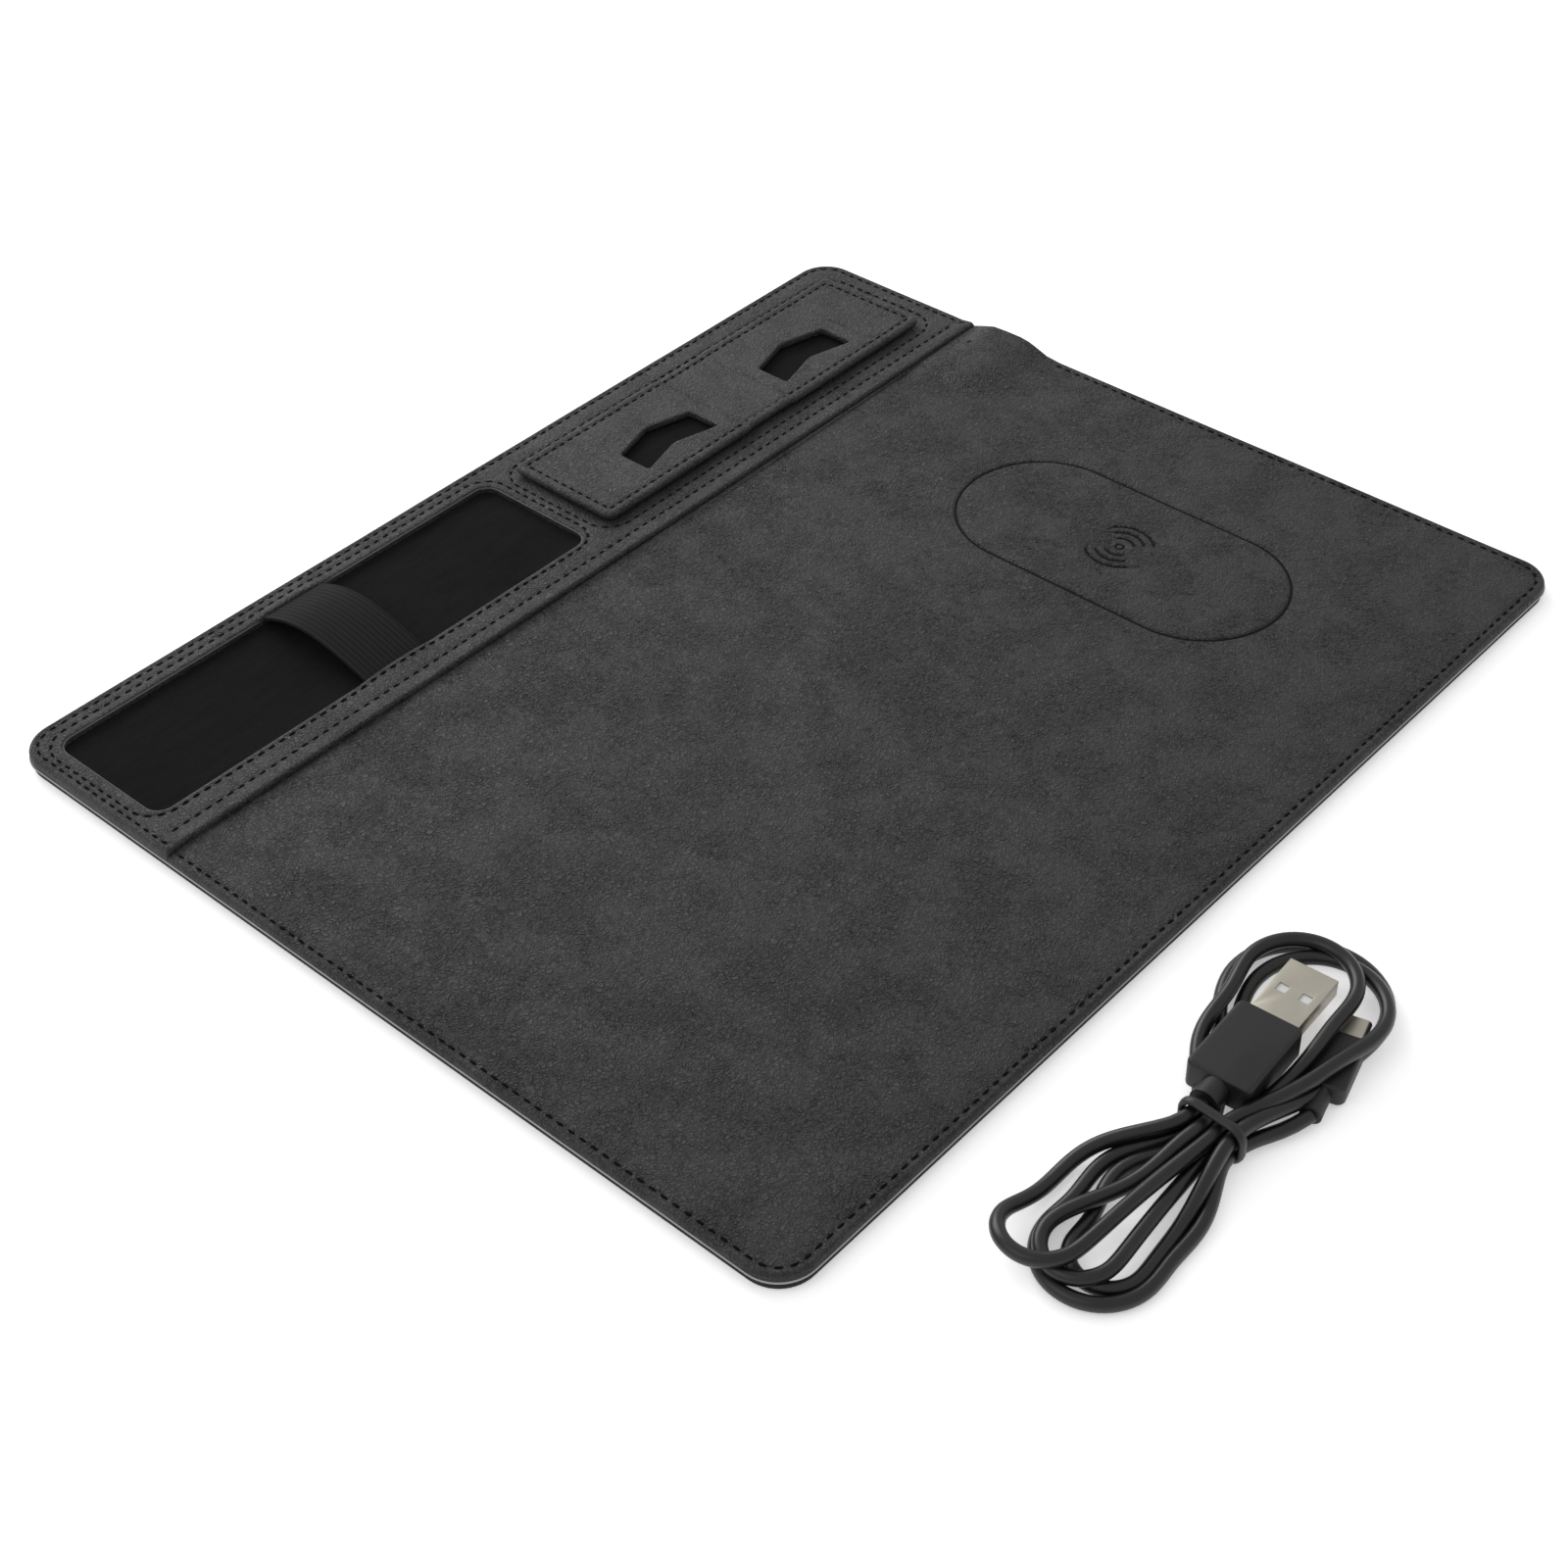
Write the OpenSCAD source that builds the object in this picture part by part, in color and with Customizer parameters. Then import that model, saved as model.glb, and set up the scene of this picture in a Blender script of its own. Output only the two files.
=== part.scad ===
// Leather desk mat with a wireless charging zone, a lined pen tray with an elastic loop,
// a fold-up phone stand and a detached USB cable. Millimetres, +Z up, origin at the centre
// of the underside. +X runs along the accessory strip, +Y points from the user to the strip.

/* [Mat] */
// Length of the mat along the strip
mat_l = 310; // [300:1:340]
// Depth of the mat from the user's edge to the strip's edge
mat_d = 260; // [250:1:300]
// Corner radius of the mat
mat_r = 10; // [7:1:12]
// Thickness of the non-slip underside sheet
base_t = 0.8; // [0.5:0.1:1]
// Thickness of the lower stiffener board
lower_t = 1.6; // [1.2:0.1:2]
// Thickness of the upper board, which is pocketed for the electronics
upper_t = 2.0; // [2:0.1:2.4]
// Thickness of the leather on the mouse area
leather_t = 0.6; // [0.5:0.1:0.8]

/* [Accessory strip] */
// Depth of the strip from its hem to the far edge
strip_d = 62.2; // [60:0.1:66]
// Thickness of the strip's leather
strip_t = 0.8; // [0.6:0.1:1]
// How far the folded hem stands above the strip
hem_rise = 0.7; // [0.4:0.1:1]
// Width of the folded hem
hem_w = 3.2; // [2:0.1:5]

/* [Pen tray] */
// Length of the tray opening
tray_l = 148.2; // [120:0.2:149]
// Width of the tray opening
tray_w = 41; // [36:0.5:42]
// Width of the elastic pen loop
loop_w = 20; // [12:1:25]
// Height of the loop's crest above the mouse surface
loop_rise = 6.4; // [5.5:0.1:8]
// Thickness of the elastic webbing
loop_t = 0.9; // [0.7:0.1:1.2]

/* [Phone stand] */
// Overall length of the folded flap
flap_l = 135; // [133:0.5:138]
// Width of the folded flap
flap_w = 38.8; // [36:0.2:40]
// Thickness of the folded flap
flap_t = 2.4; // [2.2:0.1:2.8]
// Width of each hinged panel between its two creases
panel_w = 19.75; // [18:0.25:20]
// Width of the fixed middle section
centre_w = 19; // [16:0.5:20]
// Half width of each chevron slot
chevron_hw = 14.3; // [10:0.1:15]
// Length of the chevron slot's straight sides
chevron_side = 11.2; // [9:0.2:12]
// How far the chevron's middle rises above its ends
chevron_rise = 3.9; // [3:0.1:4.5]

/* [Charger] */
// Width of the embossed charging zone
zone_w = 50.4; // [48:0.2:54]
// Length of the embossed charging zone
zone_l = 102; // [98:1:106]
// Outer radius of the charging coil
coil_r = 21.5; // [20:0.5:21.5]

/* [Cable] */
// Diameter of the cable
cable_d = 3.5; // [3:0.1:4]
// Height of the tied hank
hank_h = 9.5; // [9:0.5:11]

/* [Hidden] */
$fn = 48;
FIT = 0.05;
CUT = 1;
HULL_FN = 32;

// Levels of the stack
lower_z = base_t;
upper_z = lower_z + lower_t;
cover_z = upper_z + upper_t;
mouse_z = cover_z + leather_t;
strip_z = mouse_z + strip_t;

// Strip layout
skin_t = leather_t;
hem_y = mat_d / 2 - strip_d;
overlap = 8;
tray_x0 = -mat_l / 2 + 7.4;
tray_x1 = tray_x0 + tray_l;
tray_y = hem_y + 33.2;
tray_r = 4.5;
tray_floor_t = 1.2;
loop_x = tray_x0 + 77.1;
loop_foot = 4;
loop_foot_t = leather_t;

// Stand layout: distances from the middle of the flap
stand_x = mat_l / 2 - 79;
stand_y = hem_y + 31.5;
lining_t = 0.3;
flap_gap = 0.3;
flap_z = strip_z + lining_t + flap_gap;
flap_top = flap_z + flap_t;
flap_skin = 0.5;
flap_rim = 2.2;
board_h = flap_t - 2 * flap_skin;
crease_gap = 0.1;
crease_in = centre_w / 2;
crease_ridge = crease_in + panel_w;
crease_out = crease_ridge + panel_w;
flap_end = flap_l / 2;
flap_r = 3;
chevron_y = -5.7;
chevron_wall = 1.2;
magnet_r = 3.5;
magnet_h = 1.2;
magnet_dy = 10;
keeper_x0 = 35;
keeper_x1 = 66;
keeper_w = 26;

// Charger layout
zone_x = mat_l / 2 - 64.2;
zone_y = -mat_d / 2 + 96.8;
groove_w = 1.5;
groove_d = 0.2;
case_w = zone_w - 1.4;
case_l = zone_l - 1.4;
case_wall = 1;
case_floor = 0.4;
case_lid_t = 0.4;
coil_bore = 10;
coil_t = 0.8;
ferrite_t = 0.4;
board_w = 24;
board_d = 17;
board_y = 36.5;
board_t = 0.6;
chip_t = 0.5;
wire_r = 0.4;
coil_wire_r = 0.35;
wire_z = upper_z + 1.1;
wire_pitch = 1.4;
lead_slot_w = 3.2;
mark_gap = 2.7;
mark_w = 0.9;
mark_half_angle = 48;
mark_cut_y = 20 * tan(mark_half_angle);

// USB port module in the raised bump at the right edge
port_y = hem_y - 13.8;
bump_rise = 3.2;
bump_x0 = mat_l / 2 - 33;
bump_d = 26.4;
bump_top_x0 = mat_l / 2 - 19;
bump_top_d = 12.5;
house_wall = 0.6;
house_x0 = mat_l / 2 - 29;
house_d = 21;
house_floor = 0.5;
port_board_t = 0.7;
port_w = 8.94;
port_h = 3.16;
port_l = 7.3;
port_wall = 0.3;
port_x1 = mat_l / 2 - 0.9;
port_z = upper_z + house_floor + port_board_t + port_h / 2;
port_slot_fit = 0.35;
tongue_w = 6.7;
tongue_t = 0.7;
led_x = mat_l / 2 - 12;
led_y = port_y + 6.6;
led_r = 0.9;
led_top = mouse_z + 2.35;

// Detached cable, tied as a hank in front of the mat
tie_x = -65;
tie_y = -170.6;
tie_w = 17.4;
tie_h = 11;
tie_bar = 1.5;
tie_r = 4;
tie_l = 3;
waist_w = 13.8;
lobe_l = [[-107, -168, 16], [-92, -168.6, 17.2]];
lobe_r = [[-15, -165, 17], [-32, -166.2, 17.4]];
plug_a = [-33.4, -164.2, 3.3];
plug_a_turn = 3.3;
shell_a = [18.5, 12, 4.5];
shell_a_wall = 0.3;
grip_a = [23, 16, 8];
relief_a_l = 5;
relief_a_d = 2 * cable_d;
plug_c = [-23.2, -177, 0.4];
plug_c_turn = 15;
shell_c = [6.65, 8.34, 2.56];
shell_c_wall = 0.25;
grip_c = [17, 10.4, 5.4];
relief_c_l = 7;
relief_c_d = cable_d + 1.5;

// A rectangle between two corners, with true round corners
module round_rect(x0, x1, y0, y1, r) {
    translate([x0 + r, y0])
        square([x1 - x0 - 2 * r, y1 - y0]);
    translate([x0, y0 + r])
        square([x1 - x0, y1 - y0 - 2 * r]);
    for (x = [x0 + r, x1 - r], y = [y0 + r, y1 - r])
        translate([x, y])
            circle(r);
}

module mat_outline(inset) {
    round_rect(-mat_l / 2 + inset, mat_l / 2 - inset,
               -mat_d / 2 + inset, mat_d / 2 - inset, mat_r - inset);
}

// Everything between two depths, wider than the mat
module band(y0, y1) {
    translate([-mat_l, y0])
        square([2 * mat_l, y1 - y0]);
}

module tray_opening(grow) {
    round_rect(tray_x0 - grow, tray_x1 + grow,
               tray_y - tray_w / 2 - grow, tray_y + tray_w / 2 + grow, tray_r + grow);
}

// A stadium that stands along Y, centred on the charging zone
module zone_outline(w, l) {
    translate([zone_x, zone_y]) {
        square([w, l - w], center = true);
        for (s = [-1, 1])
            translate([0, s * (l - w) / 2])
                circle(w / 2);
    }
}

module loop_feet(grow) {
    for (s = [-1, 1])
        translate([loop_x, tray_y + s * (tray_w / 2 + loop_foot / 2 - 0.25)])
            square([loop_w + 2 * grow, loop_foot + 0.5 + 2 * grow], center = true);
}

// ---------------------------------------------------------------- mat boards

module base_sheet() {
    color("#202124")
        linear_extrude(base_t)
            mat_outline(0.6);
}

module lower_board() {
    color("#2a2a2b")
        translate([0, 0, lower_z])
            linear_extrude(lower_t)
                mat_outline(0.6);
}

// The leads run from the port along X, then along -Y into the charger's case
module lead_channel() {
    lead_x1 = house_x0 + 2;
    translate([zone_x - 2, port_y - 2])
        square([lead_x1 - zone_x + 2, 4]);
    translate([zone_x - 2, zone_y + zone_l / 2 - 3])
        square([4, port_y - zone_y - zone_l / 2 + 5]);
}

module upper_board() {
    color("#8b7a63")
        translate([0, 0, upper_z])
            linear_extrude(upper_t)
                difference() {
                    mat_outline(skin_t);
                    tray_opening(0);
                    zone_outline(case_w, case_l);
                    lead_channel();
                    translate([house_x0, port_y - house_d / 2])
                        square([mat_l, house_d]);
                }
}

// ------------------------------------------------------------- leather covers

// The raised mound over the port; inset shrinks it on every side but the mat's edge
module bump(inset, edge) {
    hull() {
        translate([bump_x0 + inset, port_y - bump_d / 2 + inset, mouse_z - leather_t])
            cube([edge - bump_x0 - inset, bump_d - 2 * inset, 0.02]);
        translate([bump_x0 + inset, port_y - bump_d / 2 + inset, mouse_z - min(inset, leather_t)])
            cube([edge - bump_x0 - inset, bump_d - 2 * inset, 0.02]);
        translate([bump_top_x0 + inset, port_y, mouse_z + bump_rise - inset - 0.02])
            linear_extrude(0.02)
                round_rect(0, edge - bump_top_x0 - inset, -bump_top_d / 2 + inset,
                           bump_top_d / 2 - inset, 2);
    }
}

// A slot along X with round ends, as wide and high as stated
module port_slot(w, h, x0, x1) {
    translate([x0, port_y, port_z])
        rotate([90, 0, 90])
            linear_extrude(x1 - x0) {
                square([w - h, h], center = true);
                for (s = [-1, 1])
                    translate([s * (w - h) / 2, 0])
                        circle(h / 2);
            }
}

// Three arcs on each side of a small ring
module charge_mark() {
    translate([zone_x, zone_y])
        difference() {
            union() {
                for (i = [1:3])
                    difference() {
                        circle(i * mark_gap + mark_w / 2 + 1.2);
                        circle(i * mark_gap - mark_w / 2 + 1.2);
                    }
            }
            for (s = [-1, 1])
                polygon([[0, 0], [20, s * mark_cut_y], [-20, s * mark_cut_y]]);
        }
    translate([zone_x, zone_y])
        difference() {
            circle(1.5);
            circle(0.7);
        }
}

module mouse_cover() {
    color("#3c3c3e")
        difference() {
            union() {
                translate([0, 0, cover_z])
                    linear_extrude(leather_t) {
                        intersection() {
                            mat_outline(0);
                            band(-mat_d, hem_y);
                        }
                        intersection() {
                            mat_outline(skin_t);
                            band(-mat_d, hem_y + overlap);
                        }
                    }
                translate([0, 0, upper_z])
                    linear_extrude(upper_t)
                        intersection() {
                            difference() {
                                mat_outline(0);
                                mat_outline(skin_t);
                            }
                            band(-mat_d, hem_y);
                        }
                bump(0, mat_l / 2);
            }
            bump(leather_t, mat_l / 2 - skin_t);
            port_slot(port_w + 2 * port_slot_fit, port_h + 2 * port_slot_fit,
                      mat_l / 2 - 3, mat_l / 2 + CUT);
            translate([led_x, led_y, cover_z])
                cylinder(r = led_r + FIT, h = 8);
            translate([0, 0, mouse_z - groove_d])
                linear_extrude(CUT) {
                    difference() {
                        zone_outline(zone_w, zone_l);
                        zone_outline(zone_w - 2 * groove_w, zone_l - 2 * groove_w);
                    }
                    charge_mark();
                }
        }
}

module strip_cover() {
    color("#434345")
        difference() {
            union() {
                translate([0, 0, mouse_z])
                    linear_extrude(strip_t)
                        intersection() {
                            mat_outline(0);
                            band(hem_y, mat_d);
                        }
                translate([0, 0, strip_z])
                    linear_extrude(hem_rise)
                        intersection() {
                            mat_outline(0);
                            band(hem_y, hem_y + hem_w);
                        }
                translate([0, 0, upper_z])
                    linear_extrude(upper_t + leather_t)
                        intersection() {
                            difference() {
                                mat_outline(0);
                                mat_outline(skin_t);
                            }
                            band(hem_y, mat_d);
                        }
            }
            translate([0, 0, mouse_z - CUT])
                linear_extrude(strip_t + 2 * CUT)
                    tray_opening(0);
        }
}

// Board that fills the level of the mouse leather under the strip
module tray_frame() {
    color("#8b7a63")
        translate([0, 0, cover_z])
            linear_extrude(leather_t)
                difference() {
                    intersection() {
                        mat_outline(skin_t);
                        band(hem_y + overlap, mat_d);
                    }
                    tray_opening(0);
                    loop_feet(FIT);
                    for (s = [-1, 1])
                        keeper_outline(s, FIT);
                }
}

module tray_lining() {
    color("#161617")
        translate([0, 0, upper_z])
            linear_extrude(tray_floor_t)
                tray_opening(-FIT);
}

// An arch of webbing across the tray, with flat feet glued under the strip's leather
module pen_loop() {
    half = tray_w / 2;
    rise = loop_rise + leather_t;
    arc_r = (half * half + rise * rise) / (2 * rise);
    arc_z = mouse_z + loop_rise - arc_r;
    color("#2e2e30") {
        translate([0, 0, cover_z])
            linear_extrude(loop_foot_t)
                loop_feet(0);
        intersection() {
            translate([loop_x - loop_w / 2, tray_y, arc_z])
                rotate([0, 90, 0])
                    difference() {
                        cylinder(r = arc_r, h = loop_w);
                        translate([0, 0, -CUT])
                            cylinder(r = arc_r - loop_t, h = loop_w + 2 * CUT);
                    }
            translate([loop_x - loop_w, tray_y - half, cover_z])
                cube([2 * loop_w, 2 * half, 4 * loop_rise]);
        }
    }
}

// ---------------------------------------------------------------- phone stand

// Places a right-hand shape of the stand on the side s (-1 left, 1 right)
module on_stand(s, z) {
    translate([stand_x, stand_y, z])
        mirror([s < 0 ? 1 : 0, 0, 0])
            children();
}

module chevron(grow) {
    hw = chevron_hw + grow;
    b = chevron_side / 2 + grow;
    translate([crease_ridge, chevron_y])
        polygon([[-hw, -b], [0, chevron_rise - b], [hw, -b],
                 [hw, b], [0, chevron_rise + b], [-hw, b]]);
}

module panel_outline(x0, x1) {
    translate([x0 + crease_gap, -flap_w / 2])
        square([x1 - x0 - 2 * crease_gap, flap_w]);
}

module board_outline(x0, x1, fit) {
    difference() {
        translate([x0 + crease_gap + fit, -flap_w / 2 + flap_rim + fit])
            square([x1 - x0 - 2 * crease_gap - 2 * fit, flap_w - 2 * flap_rim - 2 * fit]);
        chevron(chevron_wall + fit);
    }
}

// Leather folded round a board: open at the creases, closed at the edges and the slot
module hinged_panel(s, x0, x1) {
    color("#424244")
        on_stand(s, flap_z)
            difference() {
                linear_extrude(flap_t)
                    difference() {
                        panel_outline(x0, x1);
                        chevron(0);
                    }
                translate([0, 0, flap_skin])
                    linear_extrude(board_h)
                        board_outline(x0 - CUT, x1 + CUT, 0);
            }
}

module hinged_board(s, x0, x1) {
    color("#9a8a72")
        on_stand(s, flap_z + flap_skin + FIT)
            linear_extrude(board_h - 2 * FIT)
                board_outline(x0, x1, FIT);
}

module tab_outline(inset) {
    x0 = crease_out + crease_gap;
    r = max(flap_r - inset, 0.8);
    intersection() {
        round_rect(x0 - 2 * flap_r, flap_end - inset,
                   -flap_w / 2 + inset, flap_w / 2 - inset, r);
        translate([x0, -flap_w])
            square([flap_end, 2 * flap_w]);
    }
}

module end_tab(s) {
    color("#424244")
        on_stand(s, flap_z)
            difference() {
                linear_extrude(flap_t)
                    tab_outline(0);
                translate([0, 0, flap_skin])
                    linear_extrude(board_h)
                        translate([-CUT, 0])
                            tab_pocket(0);
            }
}

// The pocket reaches past the crease so that the leather is open there
module tab_pocket(fit) {
    x0 = crease_out + crease_gap;
    translate([x0 + fit, -flap_w / 2 + flap_rim + fit])
        square([flap_end - flap_rim + CUT - x0 - 2 * fit, flap_w - 2 * flap_rim - 2 * fit]);
}

module magnet_spots(r) {
    for (y = [-magnet_dy, magnet_dy])
        translate([(crease_out + flap_end) / 2, y])
            circle(r);
}

module tab_board(s) {
    color("#9a8a72")
        on_stand(s, flap_z + flap_skin + FIT)
            linear_extrude(board_h - 2 * FIT)
                difference() {
                    translate([-CUT, 0])
                        tab_pocket(FIT);
                    translate([-mat_l, -mat_l])
                        square([mat_l + crease_out + crease_gap + FIT, 2 * mat_l]);
                    magnet_spots(magnet_r + FIT);
                }
}

module tab_magnets(s) {
    color("#b9bcc0")
        on_stand(s, flap_z + flap_skin + FIT)
            linear_extrude(magnet_h)
                magnet_spots(magnet_r);
}

module keeper_outline(s, grow) {
    translate([stand_x, stand_y])
        mirror([s < 0 ? 1 : 0, 0])
            translate([keeper_x0 - grow, -keeper_w / 2 - grow])
                square([keeper_x1 - keeper_x0 + 2 * grow, keeper_w + 2 * grow]);
}

module stand_lining() {
    color("#161617")
        translate([stand_x, stand_y, strip_z])
            linear_extrude(lining_t)
                round_rect(-flap_end + 4, flap_end - 4, -flap_w / 2 + 3, flap_w / 2 - 3, 3);
}

module stand_keepers() {
    color("#8f9296")
        translate([0, 0, cover_z])
            linear_extrude(leather_t)
                for (s = [-1, 1])
                    keeper_outline(s, 0);
}

module stand_centre() {
    z0 = strip_z + lining_t;
    w = centre_w - 2 * crease_gap;
    d = flap_w - 1.2;
    color("#424244")
        difference() {
            translate([stand_x - w / 2, stand_y - d / 2, z0])
                cube([w, d, flap_top - z0]);
            translate([stand_x - w, stand_y - d / 2 + flap_rim, flap_z + flap_skin])
                cube([2 * w, d - 2 * flap_rim, board_h]);
            for (s = [-1, 1])
                on_stand(s, z0 - CUT)
                    linear_extrude(flap_t * 3)
                        chevron(0);
        }
}

module stand_centre_board() {
    w = centre_w - 2 * crease_gap - 2 * FIT;
    d = flap_w - 1.2 - 2 * flap_rim - 2 * FIT;
    color("#9a8a72")
        translate([stand_x - w / 2, stand_y - d / 2, flap_z + flap_skin + FIT])
            cube([w, d, board_h - 2 * FIT]);
}

// -------------------------------------------------------------------- charger

module charger_case() {
    color("#e4e4e0")
        translate([0, 0, upper_z])
            difference() {
                linear_extrude(upper_t - case_lid_t)
                    zone_outline(case_w - 2 * FIT, case_l - 2 * FIT);
                translate([0, 0, case_floor])
                    linear_extrude(upper_t)
                        zone_outline(case_w - 2 * case_wall, case_l - 2 * case_wall);
                translate([zone_x - lead_slot_w / 2, zone_y, wire_z - wire_r - 2 * FIT - upper_z])
                    cube([lead_slot_w, zone_l, upper_t]);
            }
}

module charger_lid() {
    color("#e4e4e0")
        translate([0, 0, cover_z - case_lid_t])
            linear_extrude(case_lid_t)
                zone_outline(case_w - 2 * FIT, case_l - 2 * FIT);
}

module ferrite_sheet() {
    color("#3a3a3c")
        translate([zone_x, zone_y, upper_z + case_floor])
            cylinder(r = coil_r + 1, h = ferrite_t);
}

module charging_coil() {
    color("#b5642b")
        translate([zone_x, zone_y, upper_z + case_floor + ferrite_t])
            difference() {
                cylinder(r = coil_r, h = coil_t);
                translate([0, 0, -CUT])
                    cylinder(r = coil_bore, h = coil_t + 2 * CUT);
            }
}

module control_board() {
    color("#1f5c37")
        translate([zone_x - board_w / 2, zone_y + board_y - board_d / 2, upper_z + case_floor])
            cube([board_w, board_d, board_t]);
}

// Driver chip, four switches and a row of capacitors
module board_chips() {
    color("#18181a")
        translate([zone_x, zone_y + board_y, upper_z + case_floor + board_t]) {
            translate([-8, -3, 0])
                cube([5, 5, chip_t]);
            for (i = [0:3])
                translate([2 + 2.4 * i, -5, 0])
                    cube([1.6, 2, chip_t]);
            for (i = [0:5])
                translate([-9 + 3 * i, 4.5, 0])
                    cube([1.6, 0.8, chip_t]);
        }
}

module coil_leads() {
    y0 = zone_y + coil_r;
    y1 = zone_y + board_y - board_d / 2;
    z = upper_z + case_floor + ferrite_t + coil_wire_r + FIT / 2;
    color("#b5642b")
        for (s = [-1, 1])
            translate([zone_x + s * 2, y0 + FIT, z])
                rotate([-90, 0, 0])
                    cylinder(r = coil_wire_r, h = y1 - y0 - 2 * FIT);
}

// Supply pair from the port's board to the charger's board, turning once
module power_leads() {
    y1 = zone_y + board_y + board_d / 2;
    color("#7d1f1c")
        for (s = [-1, 1]) {
            x = zone_x + s * wire_pitch / 2;
            y = port_y - s * wire_pitch / 2;
            translate([x, y, wire_z])
                sphere(wire_r);
            translate([x, y, wire_z])
                rotate([0, 90, 0])
                    cylinder(r = wire_r, h = house_x0 + 2 - x);
            translate([x, y1, wire_z])
                rotate([-90, 0, 0])
                    cylinder(r = wire_r, h = y - y1);
        }
}

// ----------------------------------------------------------------- USB module

module port_housing() {
    d = house_d - 2 * FIT;
    color("#1b1b1d")
        difference() {
            union() {
                translate([house_x0 + FIT, port_y - d / 2, upper_z])
                    cube([mat_l / 2 - skin_t - house_x0 - 2 * FIT, d, upper_t]);
                bump(leather_t + FIT, mat_l / 2 - skin_t - FIT);
            }
            bump(leather_t + house_wall, mat_l / 2 - skin_t - 2 * house_wall);
            translate([house_x0 + 1, port_y - d / 2 + 1, upper_z + house_floor])
                cube([mat_l / 2 - house_x0 - 3, d - 2, cover_z + 0.3 - upper_z - house_floor]);
            port_slot(port_w + 2 * FIT, port_h + 2 * FIT, mat_l / 2 - 4, mat_l / 2 + CUT);
            translate([led_x, led_y, cover_z])
                cylinder(r = led_r + FIT, h = 8);
            translate([house_x0 - CUT, port_y - lead_slot_w / 2, wire_z - 1.5 * wire_r])
                cube([3, lead_slot_w, 3 * wire_r]);
        }
}

module port_board() {
    x0 = house_x0 + 2 + FIT;
    color("#1f5c37")
        translate([x0, port_y - house_d / 2 + 1.6, upper_z + house_floor])
            cube([mat_l / 2 - 2.4 - x0, house_d - 3.2, port_board_t]);
}

module port_shell() {
    color("#c3c6ca")
        difference() {
            port_slot(port_w, port_h, port_x1 - port_l, port_x1);
            port_slot(port_w - 2 * port_wall, port_h - 2 * port_wall,
                      port_x1 - port_l + 0.8, port_x1 + CUT);
        }
}

module port_tongue() {
    color("#141416")
        translate([port_x1 - port_l + 0.8, port_y - tongue_w / 2, port_z - tongue_t / 2])
            cube([4.6, tongue_w, tongue_t]);
}

module light_pipe() {
    z0 = upper_z + house_floor + port_board_t;
    color("#e9eef2")
        translate([led_x, led_y, z0])
            cylinder(r = led_r, h = led_top - z0);
}

// ---------------------------------------------------------------- USB cable

module cable_tie_band(outer) {
    g = outer ? 0 : tie_bar;
    round_rect(-tie_w / 2 + g, tie_w / 2 - g, g, tie_h - g, tie_r - g);
}

module on_tie(len) {
    translate([tie_x - len / 2, tie_y, 0])
        rotate([90, 0, 90])
            linear_extrude(len)
                children();
}

// One lobe: round discs drawn in to the tied waist
module lobe(discs) {
    hull() {
        for (c = discs)
            translate([c[0], c[1]])
                circle(c[2], $fn = HULL_FN);
        translate([tie_x - 2, tie_y - waist_w / 2])
            square([4, waist_w]);
    }
}

module plug_a_frame() {
    translate(plug_a)
        rotate([0, 0, plug_a_turn])
            children();
}

module plug_c_frame() {
    translate(plug_c)
        rotate([0, 0, plug_c_turn])
            children();
}

// The wound turns as one outer shape, with room for the band and both plugs
module cable_hank() {
    color("#1d1d1f")
        difference() {
            linear_extrude(hank_h) {
                lobe(lobe_l);
                lobe(lobe_r);
            }
            difference() {
                translate([tie_x - tie_l / 2 - FIT, tie_y - 30, -CUT])
                    cube([tie_l + 2 * FIT, 60, hank_h + 2 * CUT]);
                on_tie(tie_l + 1)
                    offset_band();
            }
            plug_a_frame()
                translate([-grip_a[0] - relief_a_l, -grip_a[1] / 2 - 0.2, -0.1])
                    cube([grip_a[0] + relief_a_l + shell_a[0] + 1, grip_a[1] + 0.4, 20]);
            plug_c_frame()
                translate([-grip_c[0] - relief_c_l, -grip_c[1] / 2 - 0.2, -0.2])
                    cube([grip_c[0] + relief_c_l + shell_c[0] + 1, grip_c[1] + 0.4, 20]);
        }
}

// The waist that the band holds, just inside the band's bore
module offset_band() {
    g = tie_bar + FIT;
    round_rect(-tie_w / 2 + g, tie_w / 2 - g, g, tie_h - g, tie_r - g);
}

module cable_tie() {
    color("#242426")
        on_tie(tie_l)
            difference() {
                cable_tie_band(true);
                cable_tie_band(false);
            }
}

// Rectangular drawn shell, two square windows in its top face
module usb_a_shell() {
    l = shell_a[0];
    w = shell_a[1];
    h = shell_a[2];
    t = shell_a_wall;
    z0 = (grip_a[2] - h) / 2;
    color("#c9c9c4")
        plug_a_frame()
            difference() {
                translate([0, -w / 2, z0])
                    cube([l, w, h]);
                translate([t, -w / 2 + t, z0 + t])
                    cube([l, w - 2 * t, h - 2 * t]);
                for (y = [-2.9, 2.9])
                    translate([8.2, y - 1.25, z0 + h / 2])
                        cube([2.5, 2.5, h]);
            }
}

module usb_a_insert() {
    t = shell_a_wall;
    z0 = (grip_a[2] - shell_a[2]) / 2 + t;
    color("#ececea")
        plug_a_frame()
            translate([t, -shell_a[1] / 2 + t, z0])
                cube([shell_a[0] - t - 0.8, shell_a[1] - 2 * t, 1.9]);
}

// A block with round corners, standing on its flat side
module grip_block(size, r) {
    linear_extrude(size[2])
        round_rect(-size[0], 0, -size[1] / 2, size[1] / 2, r);
}

module usb_a_grip() {
    color("#1c1c1e")
        plug_a_frame()
            grip_block(grip_a, 1.6);
}

module usb_a_relief() {
    color("#1c1c1e")
        plug_a_frame()
            translate([-grip_a[0], 0, grip_a[2] / 2])
                rotate([0, -90, 0])
                    cylinder(d = relief_a_d, h = relief_a_l);
}

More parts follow.
